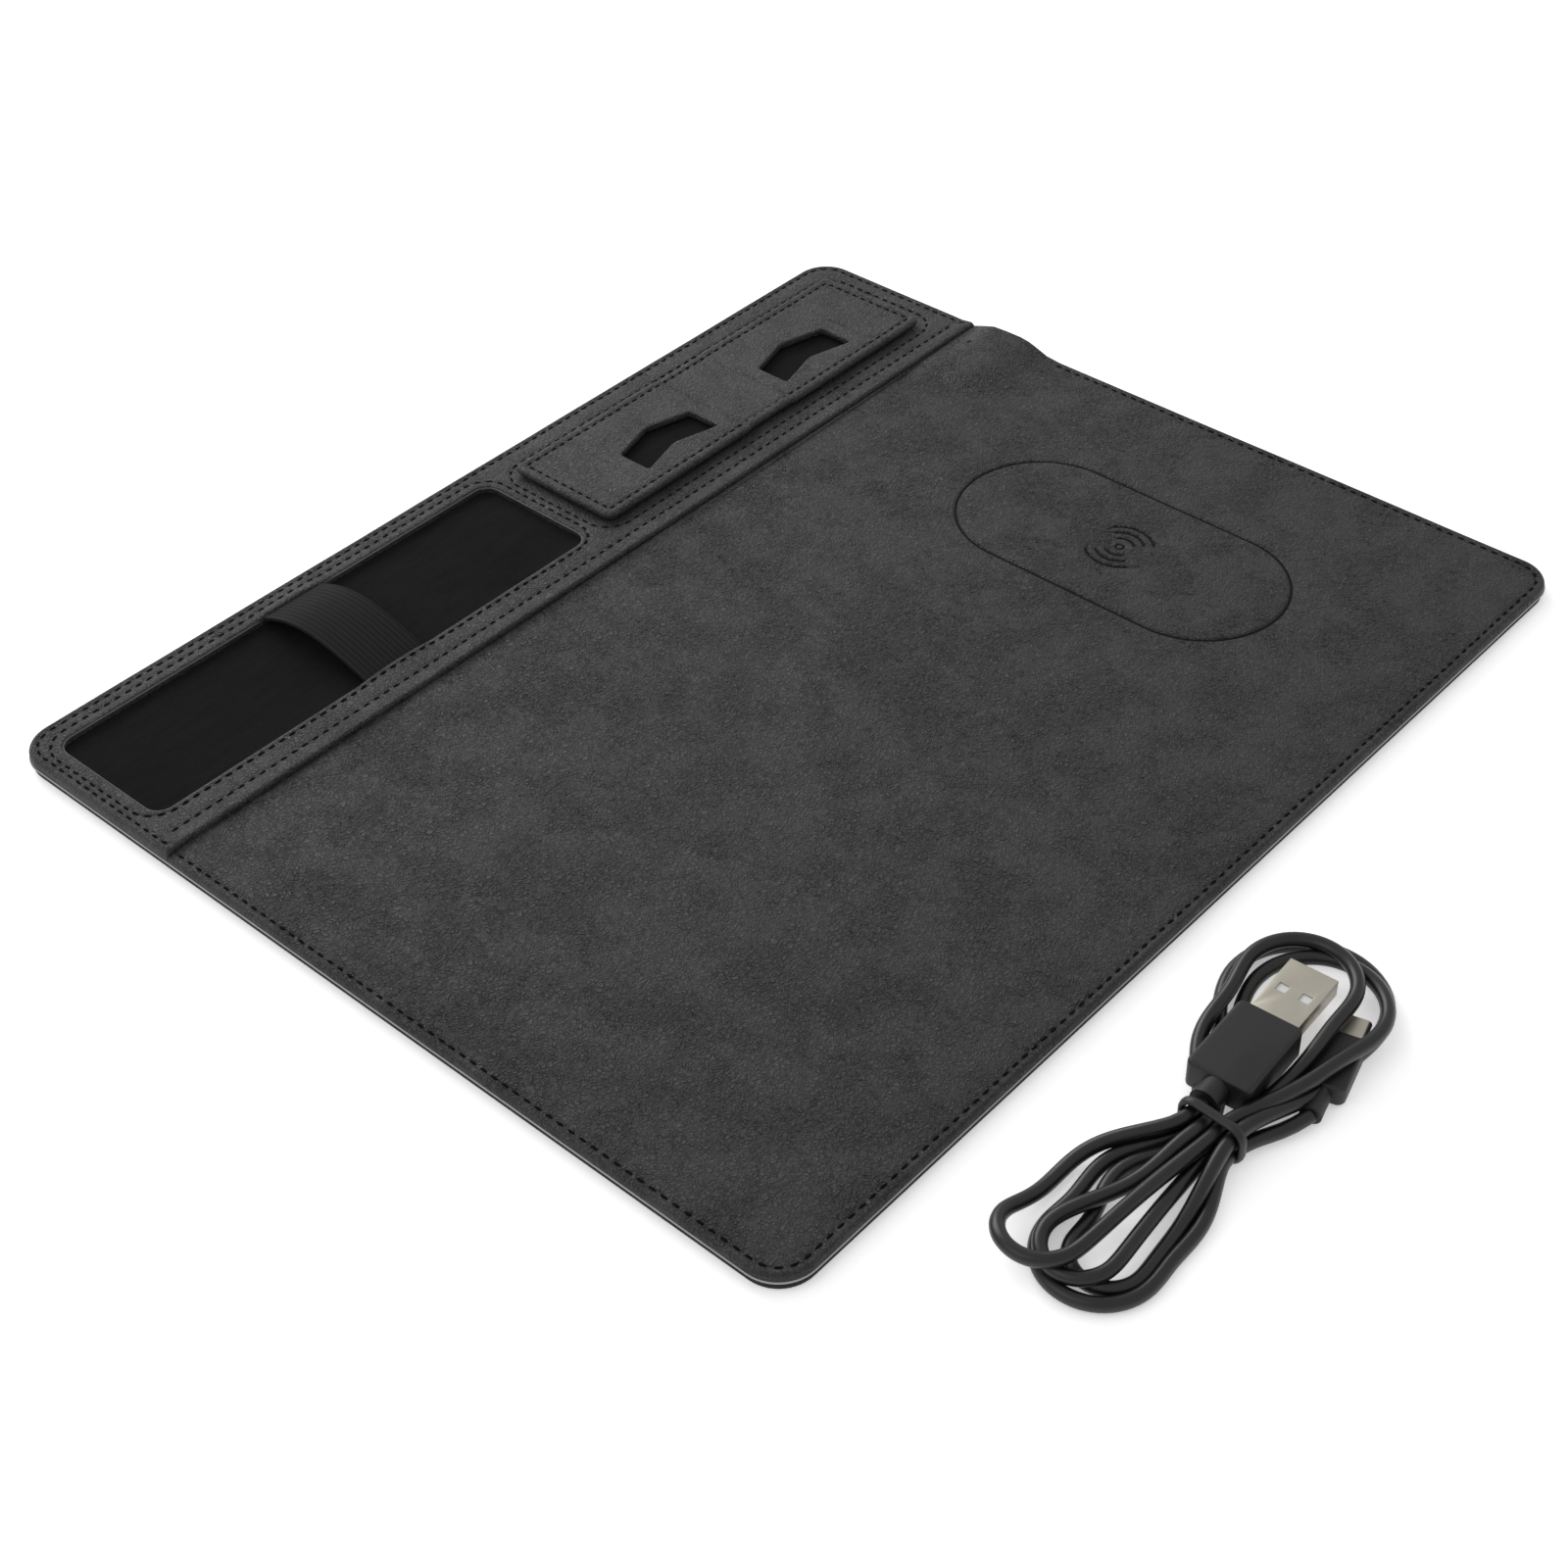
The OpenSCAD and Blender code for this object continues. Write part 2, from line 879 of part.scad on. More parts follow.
module usb_c_shell() {
    l = shell_c[0];
    h = shell_c[2];
    t = shell_c_wall;
    color("#c3c6ca")
        plug_c_frame()
            translate([0, 0, grip_c[2] / 2])
                rotate([90, 0, 90])
                    difference() {
                        linear_extrude(l)
                            stadium(shell_c[1], h);
                        translate([0, 0, t])
                            linear_extrude(l)
                                stadium(shell_c[1] - 2 * t, h - 2 * t);
                    }
}

module stadium(w, h) {
    square([w - h, h], center = true);
    for (s = [-1, 1])
        translate([s * (w - h) / 2, 0])
            circle(h / 2);
}

module usb_c_grip() {
    color("#1c1c1e")
        plug_c_frame()
            grip_block(grip_c, 2);
}

module usb_c_relief() {
    color("#1c1c1e")
        plug_c_frame()
            translate([-grip_c[0], 0, grip_c[2] / 2])
                rotate([0, -90, 0])
                    cylinder(d = relief_c_d, h = relief_c_l);
}

base_sheet();
lower_board();
upper_board();
mouse_cover();
strip_cover();
tray_frame();
tray_lining();
pen_loop();
stand_lining();
stand_keepers();
stand_centre();
stand_centre_board();
hinged_panel(-1, crease_in, crease_ridge);  // left_inner_panel
hinged_board(-1, crease_in, crease_ridge);  // left_inner_board
hinged_panel(-1, crease_ridge, crease_out);  // left_outer_panel
hinged_board(-1, crease_ridge, crease_out);  // left_outer_board
end_tab(-1);  // left_end_tab
tab_board(-1);  // left_tab_board
tab_magnets(-1);  // left_tab_magnets
hinged_panel(1, crease_in, crease_ridge);  // right_inner_panel
hinged_board(1, crease_in, crease_ridge);  // right_inner_board
hinged_panel(1, crease_ridge, crease_out);  // right_outer_panel
hinged_board(1, crease_ridge, crease_out);  // right_outer_board
end_tab(1);  // right_end_tab
tab_board(1);  // right_tab_board
tab_magnets(1);  // right_tab_magnets
charger_case();
charger_lid();
ferrite_sheet();
charging_coil();
control_board();
board_chips();
coil_leads();
power_leads();
port_housing();
port_board();
port_shell();
port_tongue();
light_pipe();
cable_hank();
cable_tie();
usb_a_shell();
usb_a_insert();
usb_a_grip();
usb_a_relief();
usb_c_shell();
usb_c_grip();
usb_c_relief();
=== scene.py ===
import math

import bmesh
import bpy
from mathutils import Matrix, Vector, geometry, noise


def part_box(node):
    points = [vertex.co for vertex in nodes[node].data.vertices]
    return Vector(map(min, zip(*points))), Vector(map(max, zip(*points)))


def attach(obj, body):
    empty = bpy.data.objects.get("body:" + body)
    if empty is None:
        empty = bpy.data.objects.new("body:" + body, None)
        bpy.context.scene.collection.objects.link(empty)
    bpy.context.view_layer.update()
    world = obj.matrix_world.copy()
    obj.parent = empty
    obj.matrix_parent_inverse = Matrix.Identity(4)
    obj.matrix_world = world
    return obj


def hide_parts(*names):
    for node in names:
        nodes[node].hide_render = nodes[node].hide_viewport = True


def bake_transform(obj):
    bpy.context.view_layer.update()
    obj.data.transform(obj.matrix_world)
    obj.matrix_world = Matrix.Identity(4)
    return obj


# A leather desk mat with a wireless charging zone, a pen tray, a fold-up phone stand and a
# tied USB cable. Lengths are in millimetres in the CAD model's frame, and become metres
# where a mesh or a light is made.
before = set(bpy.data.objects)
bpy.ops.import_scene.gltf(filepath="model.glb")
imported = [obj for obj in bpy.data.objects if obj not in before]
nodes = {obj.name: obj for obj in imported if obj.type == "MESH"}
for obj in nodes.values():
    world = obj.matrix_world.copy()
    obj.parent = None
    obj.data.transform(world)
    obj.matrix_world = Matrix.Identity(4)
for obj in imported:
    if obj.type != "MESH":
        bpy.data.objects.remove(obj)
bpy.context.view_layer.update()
MM = 0.001


def span(node):
    """The lowest and highest corners of a CAD node, in millimetres."""
    low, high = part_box(node)
    return low / MM, high / MM


def middle(node):
    """The middle of a CAD node's box, in millimetres."""
    low, high = span(node)
    return (low + high) / 2


# ---- places from the frame
mouse_low, mouse_high = span("mouse_cover")
strip_low, strip_high = span("strip_cover")
base_low = span("base_sheet")[0]
tray_low, tray_high = span("tray_lining")
loop_low, loop_high = span("pen_loop")
flap_left, flap_right = span("left_end_tab")[0].x, span("right_end_tab")[1].x
flap_low, flap_high = span("left_inner_panel")
light_low, light_high = span("light_pipe")
tie_low, tie_high = span("cable_tie")
case_low, case_high = span("charger_case")

HALF_X = strip_high.x
Y_FRONT = mouse_low.y
Y_BACK = strip_high.y
Y_HEM = strip_low.y
CORNER = 10
PLY_Z = mouse_low.z
UPPER_PLY = 2.6
STRIP_RAISED = 0.8
MOUSE_Z = PLY_Z + UPPER_PLY
STRIP_Z = MOUSE_Z + STRIP_RAISED
HEM_Z = strip_high.z

# Tray window, pen loop and phone stand
TUCK = 0.05
WINDOW = (tray_low.x + TUCK, tray_high.x - TUCK, tray_low.y + TUCK, tray_high.y - TUCK)
WINDOW_RADII = (4.5,) * 4
LOOP_X = middle("pen_loop").x
LOOP_HALF = (loop_high.x - loop_low.x) / 2
STAND_X = (flap_left + flap_right) / 2
STAND_Y = middle("left_inner_panel").y
FLAP_HALF = (flap_right - flap_left) / 2
FLAP_HALF_Y = (flap_high.y - flap_low.y) / 2
FLAP_Z = flap_low.z
FLAP_TOP = flap_high.z
CREASE_IN = 9.5
CREASE_RIDGE = 29.25
CREASE_OUT = 49.0
CHEVRON_Y = -5.7
CHEVRON_HALF = 14.3
CHEVRON_SIDE = 11.2
CHEVRON_RISE = 3.9

# Charging zone and port mound
ZONE_X, ZONE_Y, _ = middle("charger_case")
ZONE_GROWN = 0.75
ZONE = (case_low.x - ZONE_GROWN, case_high.x + ZONE_GROWN,
        case_low.y - ZONE_GROWN, case_high.y + ZONE_GROWN)
ZONE_RADII = ((ZONE[1] - ZONE[0]) / 2,) * 4
_, PORT_Y, PORT_Z = middle("port_shell")
PORT_SLOT = (4.82, 1.93)
PANEL_HALF = 7
MOUND_X = HALF_X - 33
MOUND_HALF = 13
MOUND_RISE = mouse_high.z - MOUSE_Z

# Sewing: its pitch, its distance from the mat's edge, and the groove it pulls down
STITCH_PITCH = 3.4
STITCH_IN = 2.4
SEAM_HALF = 0.95
SEAM_DEEP = 0.3
HEM_STITCH_Y = Y_HEM + 5.4

# ---- the camera
VIEW_AZIMUTH = math.radians(-46.853)
VIEW_ELEVATION = math.radians(41.44)
VIEW_ROLL = math.radians(-2.108)
VIEW_DISTANCE = 630.364
VIEW_TARGET = Vector((-36.355, -24.24, 0))
VIEW_LENS = 58.52


def add_camera():
    flat = math.cos(VIEW_ELEVATION)
    back = Vector((math.sin(VIEW_AZIMUTH) * flat, -math.cos(VIEW_AZIMUTH) * flat,
                   math.sin(VIEW_ELEVATION)))
    right = (-back).cross(Vector((0, 0, 1))).normalized()
    down = (-back).cross(right)
    c, s = math.cos(VIEW_ROLL), math.sin(VIEW_ROLL)
    x_axis = right * c - down * s
    y_axis = -(right * s + down * c)
    data = bpy.data.cameras.new("camera")
    data.lens = VIEW_LENS
    data.sensor_width = 36
    data.clip_start = 0.01
    camera = bpy.data.objects.new("camera", data)
    place = Matrix((x_axis, y_axis, back)).transposed().to_4x4()
    place.translation = (VIEW_TARGET + back * VIEW_DISTANCE) * MM
    camera.matrix_world = place
    bpy.context.scene.collection.objects.link(camera)
    bpy.context.scene.camera = camera


add_camera()


# ---- the cable
CABLE_D = 3.5
TIE_X, TIE_Y, _ = middle("cable_tie")
# Where the strands lie in the tie: a to d from its +Y side to its -Y side, in two layers
COLUMN = {"a": 4.9, "b": 1.45, "c": -1.95, "d": -5.35}
LOW = 3.4
HIGH = 7.2
# Each turn: its side of the tie, centre and radius of its round end, how far its outgoing
# and returning runs bow out, the slots in the tie it leaves from and returns to, and its
# heights half way out, at the end and half way back
TURNS = [
    (-1, (-108.7, -159.5), 9.5, 6, -0.5, ("a", HIGH), ("c", HIGH), (1.9, 6.8, 7.2)),
    (1, (-20.5, -167.6), 16, 1.5, 0, ("c", HIGH), ("b", LOW), (7.8, 5.2, 1.8)),
    (-1, (-103.5, -172.4), 8.3, 6, 0.5, ("b", LOW), ("d", HIGH), (1.8, 1.8, 1.8)),
    (1, (-18, -163.6), 18.6, 2, 0, ("d", HIGH), ("b", 6.2), (3.4, 1.8, 1.8)),
    (-1, (-106.5, -167.5), 8.5, -2.5, 0, ("b", HIGH), ("c", LOW), (5.2, 4.0, 5.2)),
    (1, (-17.9, -161.2), 13.2, 2.4, 4.6, ("c", LOW), ("a", LOW), (7.7, 7.3, 5.6)),
    (-1, (-104, -170.4), 13.2, 4.6, 2.5, ("a", LOW), ("d", LOW), (1.8, 1.8, 1.8)),
]
RUN_POINTS = 8
END_POINTS = 9
# From the tie to the strain relief of the small plug
CABLE_TAIL = [(-58.5, -177.6, 2.6), (-52.5, -181.6, 2.4), (-46.4, -183.2, 3.1)]
# Where the cable leaves the strain relief of the large plug
CABLE_HEAD = (-61.4, -165.8, 7.3)


def smooth(v):
    """0 below 0, 1 above 1 and an even ease between them."""
    v = min(1.0, max(0.0, v))
    return v * v * (3 - 2 * v)


def eased(t, knots):
    """A height that eases from knot to knot, each a (share of the way, height)."""
    for (t0, z0), (t1, z1) in zip(knots, knots[1:]):
        if t <= t1:
            return z0 + (z1 - z0) * smooth((t - t0) / (t1 - t0))
    return knots[-1][1]


def run(start, end, bow, heading):
    """Points from start to end, bowed to the right of the way they go."""
    out = Vector((math.sin(heading), -math.cos(heading)))
    points = []
    for i in range(RUN_POINTS + 1):
        t = i / RUN_POINTS
        points.append(start.lerp(end, t) + out * bow * math.sin(math.pi * t) ** 2)
    return points


def turn(side, centre, radius, bow_out, bow_back, leave, arrive, heights):
    """One turn of the hank: out of the tie, round an arc and back, anticlockwise."""
    c = Vector(centre)
    start = Vector((TIE_X + side * 2.5, TIE_Y + COLUMN[leave[0]]))
    end = Vector((TIE_X + side * 2.5, TIE_Y + COLUMN[arrive[0]]))
    to_start, to_end = c - start, c - end
    heading = math.atan2(to_start.y, to_start.x) - math.asin(radius / to_start.length)
    homing = math.atan2(to_end.y, to_end.x) - math.pi + math.asin(radius / to_end.length)
    first, last = heading - math.pi / 2, homing - math.pi / 2
    last += math.tau * math.ceil((first - last) / math.tau)
    arc = []
    for i in range(END_POINTS + 1):
        angle = first + (last - first) * i / END_POINTS
        arc.append(c + radius * Vector((math.cos(angle), math.sin(angle))))
    flat = run(start, arc[0], bow_out, heading)[:-1] + arc + run(arc[-1], end, bow_back, homing)[1:]
    knots = [(0, leave[1]), (0.22, heights[0]), (0.5, heights[1]), (0.78, heights[2]), (1, arrive[1])]
    return [(p.x, p.y, eased(i / (len(flat) - 1), knots)) for i, p in enumerate(flat)]


def cable_points():
    points = [CABLE_HEAD]
    for one in TURNS:
        points += turn(*one)
    return points + CABLE_TAIL


def add_cable():
    data = bpy.data.curves.new("cable", "CURVE")
    data.dimensions = "3D"
    data.bevel_depth = CABLE_D / 2 * MM
    data.bevel_resolution = 5
    data.resolution_u = 4
    spline = data.splines.new("NURBS")
    points = cable_points()
    spline.points.add(len(points) - 1)
    for control, p in zip(spline.points, points):
        control.co = (p[0] * MM, p[1] * MM, p[2] * MM, 1)
    spline.order_u = 4
    spline.use_endpoint_u = True
    cable = bpy.data.objects.new("cable_cord", data)
    bpy.context.scene.collection.objects.link(cable)
    return cable


cable = add_cable()


# ---- materials
class Finish:
    """A procedural material on the mesh's own coordinates, in metres."""

    def __init__(self, name, colour, roughness, **sockets):
        self.material = bpy.data.materials.new(name)
        self.material.use_nodes = True
        self.tree = self.material.node_tree
        self.shader = self.tree.nodes["Principled BSDF"]
        self.shader.inputs["Base Color"].default_value = (*colour, 1)
        self.shader.inputs["Roughness"].default_value = roughness
        for socket, value in sockets.items():
            self.shader.inputs[socket.replace("_", " ")].default_value = value
        self.place = self.add("ShaderNodeTexCoord").outputs["Object"]
        self.bumped = None

    def add(self, kind, inputs=None, **settings):
        node = self.tree.nodes.new(kind)
        for name, value in settings.items():
            setattr(node, name, value)
        for name, value in (inputs or {}).items():
            self.wire(value, node.inputs[name])
        return node

    def wire(self, value, socket):
        if isinstance(value, bpy.types.NodeSocket):
            self.tree.links.new(value, socket)
        else:
            socket.default_value = value

    def noise(self, scale, detail=3.0, rough=0.55, at=None):
        node = self.add("ShaderNodeTexNoise", {
            "Vector": at or self.place, "Scale": scale, "Detail": detail, "Roughness": rough})
        return node.outputs["Fac"]

    def warped(self, scale, amount):
        """Coordinates pushed about by a noise, by about that many metres."""
        shift = self.add("ShaderNodeTexNoise", {
            "Vector": self.place, "Scale": scale, "Detail": 3.0})
        centred = self.add("ShaderNodeVectorMath", {0: shift.outputs["Color"], 1: (0.5, 0.5, 0.5)},
                           operation="SUBTRACT")
        scaled = self.add("ShaderNodeVectorMath", {0: centred.outputs[0], 3: amount * 2},
                          operation="SCALE")
        moved = self.add("ShaderNodeVectorMath", {0: self.place, 1: scaled.outputs[0]})
        return moved.outputs[0]

    def stretched(self, x, y, z, at=None):
        node = self.add("ShaderNodeMapping", {"Vector": at or self.place, "Scale": (x, y, z)})
        return node.outputs[0]

    def cracks(self, scale, width, at):
        """1 on the borders of warped cells, falling to 0 within width of a cell."""
        cells = self.add("ShaderNodeTexVoronoi", {"Vector": at, "Scale": scale},
                         feature="DISTANCE_TO_EDGE")
        return self.ramp(cells.outputs["Distance"], 0, width, 1, 0)

    def ramp(self, value, low, high, out_low, out_high):
        node = self.add("ShaderNodeMapRange", {
            "Value": value, "From Min": low, "From Max": high,
            "To Min": out_low, "To Max": out_high})
        return node.outputs["Result"]

    def wave(self, scale, direction, distortion=0.0):
        node = self.add("ShaderNodeTexWave", {
            "Vector": self.place, "Scale": scale, "Distortion": distortion, "Detail": 1.0},
            bands_direction=direction)
        return node.outputs["Fac"]

    def maths(self, kind, a, b):
        return self.add("ShaderNodeMath", {0: a, 1: b}, operation=kind).outputs[0]

    def times(self, a, b):
        return self.maths("MULTIPLY", a, b)

    def larger(self, a, b):
        return self.maths("MAXIMUM", a, b)

    def mixed(self, *parts):
        """The sum of some values, each with its weight."""
        total = 0.0
        for value, weight in parts:
            total = self.maths("ADD", total, self.times(value, weight))
        return total

    def tint(self, factor, dark, light):
        """Colour from dark to light by a factor."""
        mix = self.add("ShaderNodeMix", {"Factor": factor}, data_type="RGBA")
        mix.inputs[6].default_value = (*dark, 1)
        mix.inputs[7].default_value = (*light, 1)
        self.tree.links.new(mix.outputs[2], self.shader.inputs["Base Color"])

    def rough(self, factor, low, high):
        self.tree.links.new(self.ramp(factor, 0, 1, low, high), self.shader.inputs["Roughness"])

    def bump(self, height, depth_mm):
        inputs = {"Height": height, "Distance": depth_mm * MM, "Strength": 1.0}
        if self.bumped:
            inputs["Normal"] = self.bumped
        self.bumped = self.add("ShaderNodeBump", inputs).outputs["Normal"]
        self.tree.links.new(self.bumped, self.shader.inputs["Normal"])


def grey(value):
    """A neutral linear colour from an 8-bit tone."""
    v = value / 255
    v = v / 12.92 if v <= 0.04045 else ((v + 0.055) / 1.055) ** 2.4
    return (v, v, v)


def leather(name, tone, crackle, roughness):
    """Smooth-finished synthetic leather: crinkles in patches over a fine pore grain."""
    m = Finish(name, grey(tone), roughness, Specular_IOR_Level=0.4)
    wide = m.warped(70, 0.006)
    fine = m.warped(420, 0.0016)
    folds = m.cracks(150, 0.05, m.stretched(1, 1.6, 1, wide))
    wrinkles = m.cracks(420, 0.2, m.stretched(1, 1.35, 1, fine))
    crinkles = m.cracks(760, 0.26, m.stretched(1.3, 1, 1, fine))
    grain = m.noise(2200, 4.0, 0.6)
    patches = m.ramp(m.noise(16, 3.0), 0.35, 0.62, 0.75, 1.0)
    bands = m.ramp(m.noise(90, 3.0), 0.4, 0.6, 0.35, 1.0)
    long_lines = m.times(folds, m.ramp(m.noise(55, 2.0), 0.5, 0.62, 0.0, 0.7))
    short_lines = m.times(m.larger(wrinkles, m.times(crinkles, 0.7)), m.times(patches, bands))
    creases = m.larger(m.times(long_lines, patches), short_lines)
    cloud = m.noise(30, 4.0)
    # The cloud varies the tone at random; the crease lines are darkened in colour as painted shade in
    # the creases.
    tone_and_crease_shade = m.mixed((m.ramp(cloud, 0.3, 0.7, 0.88, 1.0), 1), (creases, -0.8 * crackle))
    m.tint(m.larger(tone_and_crease_shade, 0.0), grey(max(tone - 30, 2)), grey(tone + 6))
    m.rough(m.mixed((cloud, 0.6), (grain, 0.4)), roughness - 0.08, roughness + 0.12)
    m.bump(m.times(creases, -1.0), 0.45 * crackle)
    m.bump(m.times(crinkles, -1.0), 0.16)
    m.bump(grain, 0.04)
    m.bump(cloud, 0.06)
    return m.material


def suede(name, tone):
    """Short nap, brushed one way and slightly clouded."""
    m = Finish(name, grey(tone), 0.95, Specular_IOR_Level=0.06, Sheen_Weight=0.02,
               Sheen_Roughness=0.5)
    nap = m.noise(1900, 5.0, 0.75)
    brushed = m.noise(1, 4.0, 0.6, m.stretched(90, 380, 90))
    cloud = m.noise(24, 4.0)
    mix = m.mixed((nap, 0.55), (brushed, 0.25), (cloud, 0.2))
    m.tint(m.ramp(mix, 0.36, 0.64, 0, 1), grey(max(tone - 7, 3)), grey(tone + 8))
    m.bump(nap, 0.14)
    m.bump(brushed, 0.1)
    return m.material


def elastic_web(name, tone):
    """Knitted elastic: ribs along the strap, fine cross picks over them."""
    m = Finish(name, grey(tone), 0.85, Specular_IOR_Level=0.12, Sheen_Weight=0.02)
    ribs = m.wave(210.0, "X", 0.4)
    picks = m.wave(420.0, "Y", 0.8)
    fuzz = m.noise(1700, 4.0, 0.7)
    m.tint(m.mixed((ribs, 0.5), (picks, 0.2), (fuzz, 0.3)), grey(max(tone - 14, 4)), grey(tone + 8))
    m.bump(ribs, 0.12)
    m.bump(picks, 0.06)
    m.bump(fuzz, 0.05)
    return m.material


def plastic(name, tone, roughness, grain=0.03, specular=0.45, hue=(1, 1, 1)):
    """Moulded plastic or rubber with a spark-eroded grain and faint handling marks."""
    colour, light, dark = (tuple(c * h for c, h in zip(grey(value), hue))
                           for value in (tone, tone + 6, max(tone - 6, 4)))
    m = Finish(name, colour, roughness, Specular_IOR_Level=specular)
    spark = m.noise(2600, 3.0, 0.6)
    smear = m.noise(1, 3.0, 0.6, m.stretched(60, 220, 120))
    m.tint(m.ramp(smear, 0.3, 0.7, 0, 1), dark, light)
    m.rough(smear, roughness - 0.07, roughness + 0.1)
    m.bump(spark, grain)
    return m.material


def metal(name, colour, roughness, lines=(1, 1, 1)):
    """Plated sheet metal: faint drawing lines and slightly clouded plating."""
    m = Finish(name, colour, roughness, Metallic=1.0)
    drawn = m.noise(1, 3.0, 0.6, m.stretched(*(900 * v for v in lines)))
    cloud = m.noise(160, 2.0, 0.5)
    m.tint(m.ramp(cloud, 0.3, 0.7, 0, 1), tuple(c * 0.92 for c in colour), colour)
    m.rough(drawn, roughness - 0.05, roughness + 0.1)
    m.bump(drawn, 0.004)
    return m.material


def fibre_board(name, tone):
    """Pressed brown board with long fibres."""
    m = Finish(name, grey(tone), 0.85, Specular_IOR_Level=0.2)
    fibres = m.noise(1, 5.0, 0.7, m.stretched(500, 1600, 900))
    m.tint(m.ramp(fibres, 0.3, 0.7, 0, 1), (0.16, 0.12, 0.08), (0.34, 0.27, 0.19))
    m.bump(fibres, 0.08)
    return m.material


def grip_sheet(name, tone):
    """Non-slip underside: a fine woven emboss in rubbery sheet."""
    m = Finish(name, grey(tone), 0.75, Specular_IOR_Level=0.3)
    knots = m.times(m.wave(230.0, "X"), m.wave(230.0, "Y"))
    dust = m.noise(400, 4.0, 0.7)
    m.tint(m.mixed((knots, 0.5), (dust, 0.5)), grey(tone - 8), grey(tone + 8))
    m.bump(knots, 0.15)
    m.bump(dust, 0.05)
    return m.material


# Each finish: its material function and that function's numbers
RECIPES = {
    "mouse_leather": (leather, 36, 1.0, 0.52),
    "strip_leather": (leather, 39, 0.6, 0.52),
    # painted shade for the charging zone's pressed line and the charging mark
    "pressed_leather": (plastic, 12, 0.75, 0.04, 0.12),
    # painted highlight along the mat's edge between the plies
    "cut_edge": (plastic, 150, 0.6, 0.05),
    # painted highlight along the tray window's lip
    "lip": (plastic, 82, 0.5, 0.04),
    "suede": (suede, 17),
    "elastic": (elastic_web, 25),
    "underside": (grip_sheet, 16),
    "stiff_board": (fibre_board, 120),
    "steel": (metal, (0.55, 0.56, 0.58), 0.35, (1, 0.1, 1)),
    "magnet": (metal, (0.62, 0.62, 0.64), 0.2),
    "case_plastic": (plastic, 215, 0.45),
    "housing_plastic": (plastic, 30, 0.5),
    "ferrite": (plastic, 52, 0.6, 0.06),
    "copper": (metal, (0.72, 0.33, 0.16), 0.3, (1, 1, 0.2)),
    "circuit": (plastic, 80, 0.35, 0.02, 0.45, (0.25, 0.9, 0.4)),
    "chip": (plastic, 28, 0.4),
    "lead_red": (plastic, 90, 0.4, 0.02, 0.45, (1.6, 0.2, 0.18)),
    "connector_metal": (metal, (0.5, 0.47, 0.4), 0.36, (0.08, 1, 1)),
    "insert_plastic": (plastic, 205, 0.5),
    "cable_jacket": (plastic, 14, 0.34, 0.02),
    "plug_grip": (plastic, 17, 0.5, 0.04),
    "tie_band": (plastic, 18, 0.42, 0.03),
    "light_pipe": (plastic, 5, 0.6, 0.01, 0.15),
    "thread": (plastic, 6, 0.9, 0.05, 0.1),
}
FINISHES = {name: make(name, *numbers) for name, (make, *numbers) in RECIPES.items()}


def finish_cad_nodes():
    """Every CAD node takes the procedural finish of the slot that the record names."""
    for node in nodes.values():
        for holder in node.material_slots:
            name = holder.material.name.split(".")[0] if holder.material else ""
            if name in FINISHES:
                holder.material = FINISHES[name]


# ---- mesh functions
def new_piece(name, verts, faces, finish, body=None, slot=None, auto=None):
    """A mesh object from millimetre points; it rides on a body when one is given."""
    mesh = bpy.data.meshes.new(name)
    mesh.from_pydata([(x * MM, y * MM, z * MM) for x, y, z in verts], [], faces)
    mesh.validate()
    work = bmesh.new()
    work.from_mesh(mesh)
    bmesh.ops.remove_doubles(work, verts=work.verts, dist=0.004 * MM)
    bmesh.ops.recalc_face_normals(work, faces=work.faces)
    work.to_mesh(mesh)
    work.free()
    mesh.polygons.foreach_set("use_smooth", [True] * len(mesh.polygons))
    if auto is not None:
        mesh.set_sharp_from_angle(angle=math.radians(auto))
    mesh.materials.append(FINISHES[finish])
    piece = bpy.data.objects.new(name, mesh)
    bpy.context.scene.collection.objects.link(piece)
    if body:
        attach(piece, body)
    return piece


def rounded(x0, x1, y0, y1, radii, inset=0.0, step=1.2):
    """Anticlockwise outline of a rectangle with its own radius at each corner, drawn in by
    inset. radii go from the lower left corner round to the upper left."""
    x0, x1, y0, y1 = x0 + inset, x1 - inset, y0 + inset, y1 - inset
    corners = [((x0, y0), 1, 1, math.pi), ((x1, y0), -1, 1, 1.5 * math.pi),
               ((x1, y1), -1, -1, 0), ((x0, y1), 1, -1, math.pi / 2)]
    points = []
    for ((x, y), sx, sy, start), corner in zip(corners, radii):
        r = max(corner - inset, 0.05)
        cx, cy = x + sx * r, y + sy * r
        count = max(3, round(corner * math.pi / 2 / step))
        for i in range(count + 1):
            angle = start + i / count * math.pi / 2
            point = (cx + r * math.cos(angle), cy + r * math.sin(angle))
            if not points or math.dist(point, points[-1]) > 0.01:
                points.append(point)
    if math.dist(points[0], points[-1]) < 0.01:
        points.pop()
    return points


def divided(points, step, closed=True):
    """The outline again, its long sides divided into steps."""
    out = []
    ends = points[1:] + points[:1] if closed else points[1:]
    for (ax, ay), (bx, by) in zip(points, ends):
        count = max(1, round(math.hypot(bx - ax, by - ay) / step))
        out += [(ax + (bx - ax) * i / count, ay + (by - ay) * i / count) for i in range(count)]
    return out if closed else out + [points[-1]]


def rings(region, radii, insets, step, arc=1.2):
    """A rounded rectangle's outline at each inset, divided into steps."""
    return [divided(rounded(*region, radii, inset, arc), step) for inset in insets]


def inside(x, y, x0, x1, y0, y1, radii):
    """How far a point is inside that rounded rectangle; below 0 outside."""
    cx, cy = (x0 + x1) / 2, (y0 + y1) / 2
    if y < cy:
        r = radii[0] if x < cx else radii[1]
    else:
        r = radii[3] if x < cx else radii[2]
    dx = abs(x - cx) - (x1 - x0) / 2 + r
    dy = abs(y - cy) - (y1 - y0) / 2 + r
    return r - math.hypot(max(dx, 0), max(dy, 0)) - min(max(dx, dy), 0)


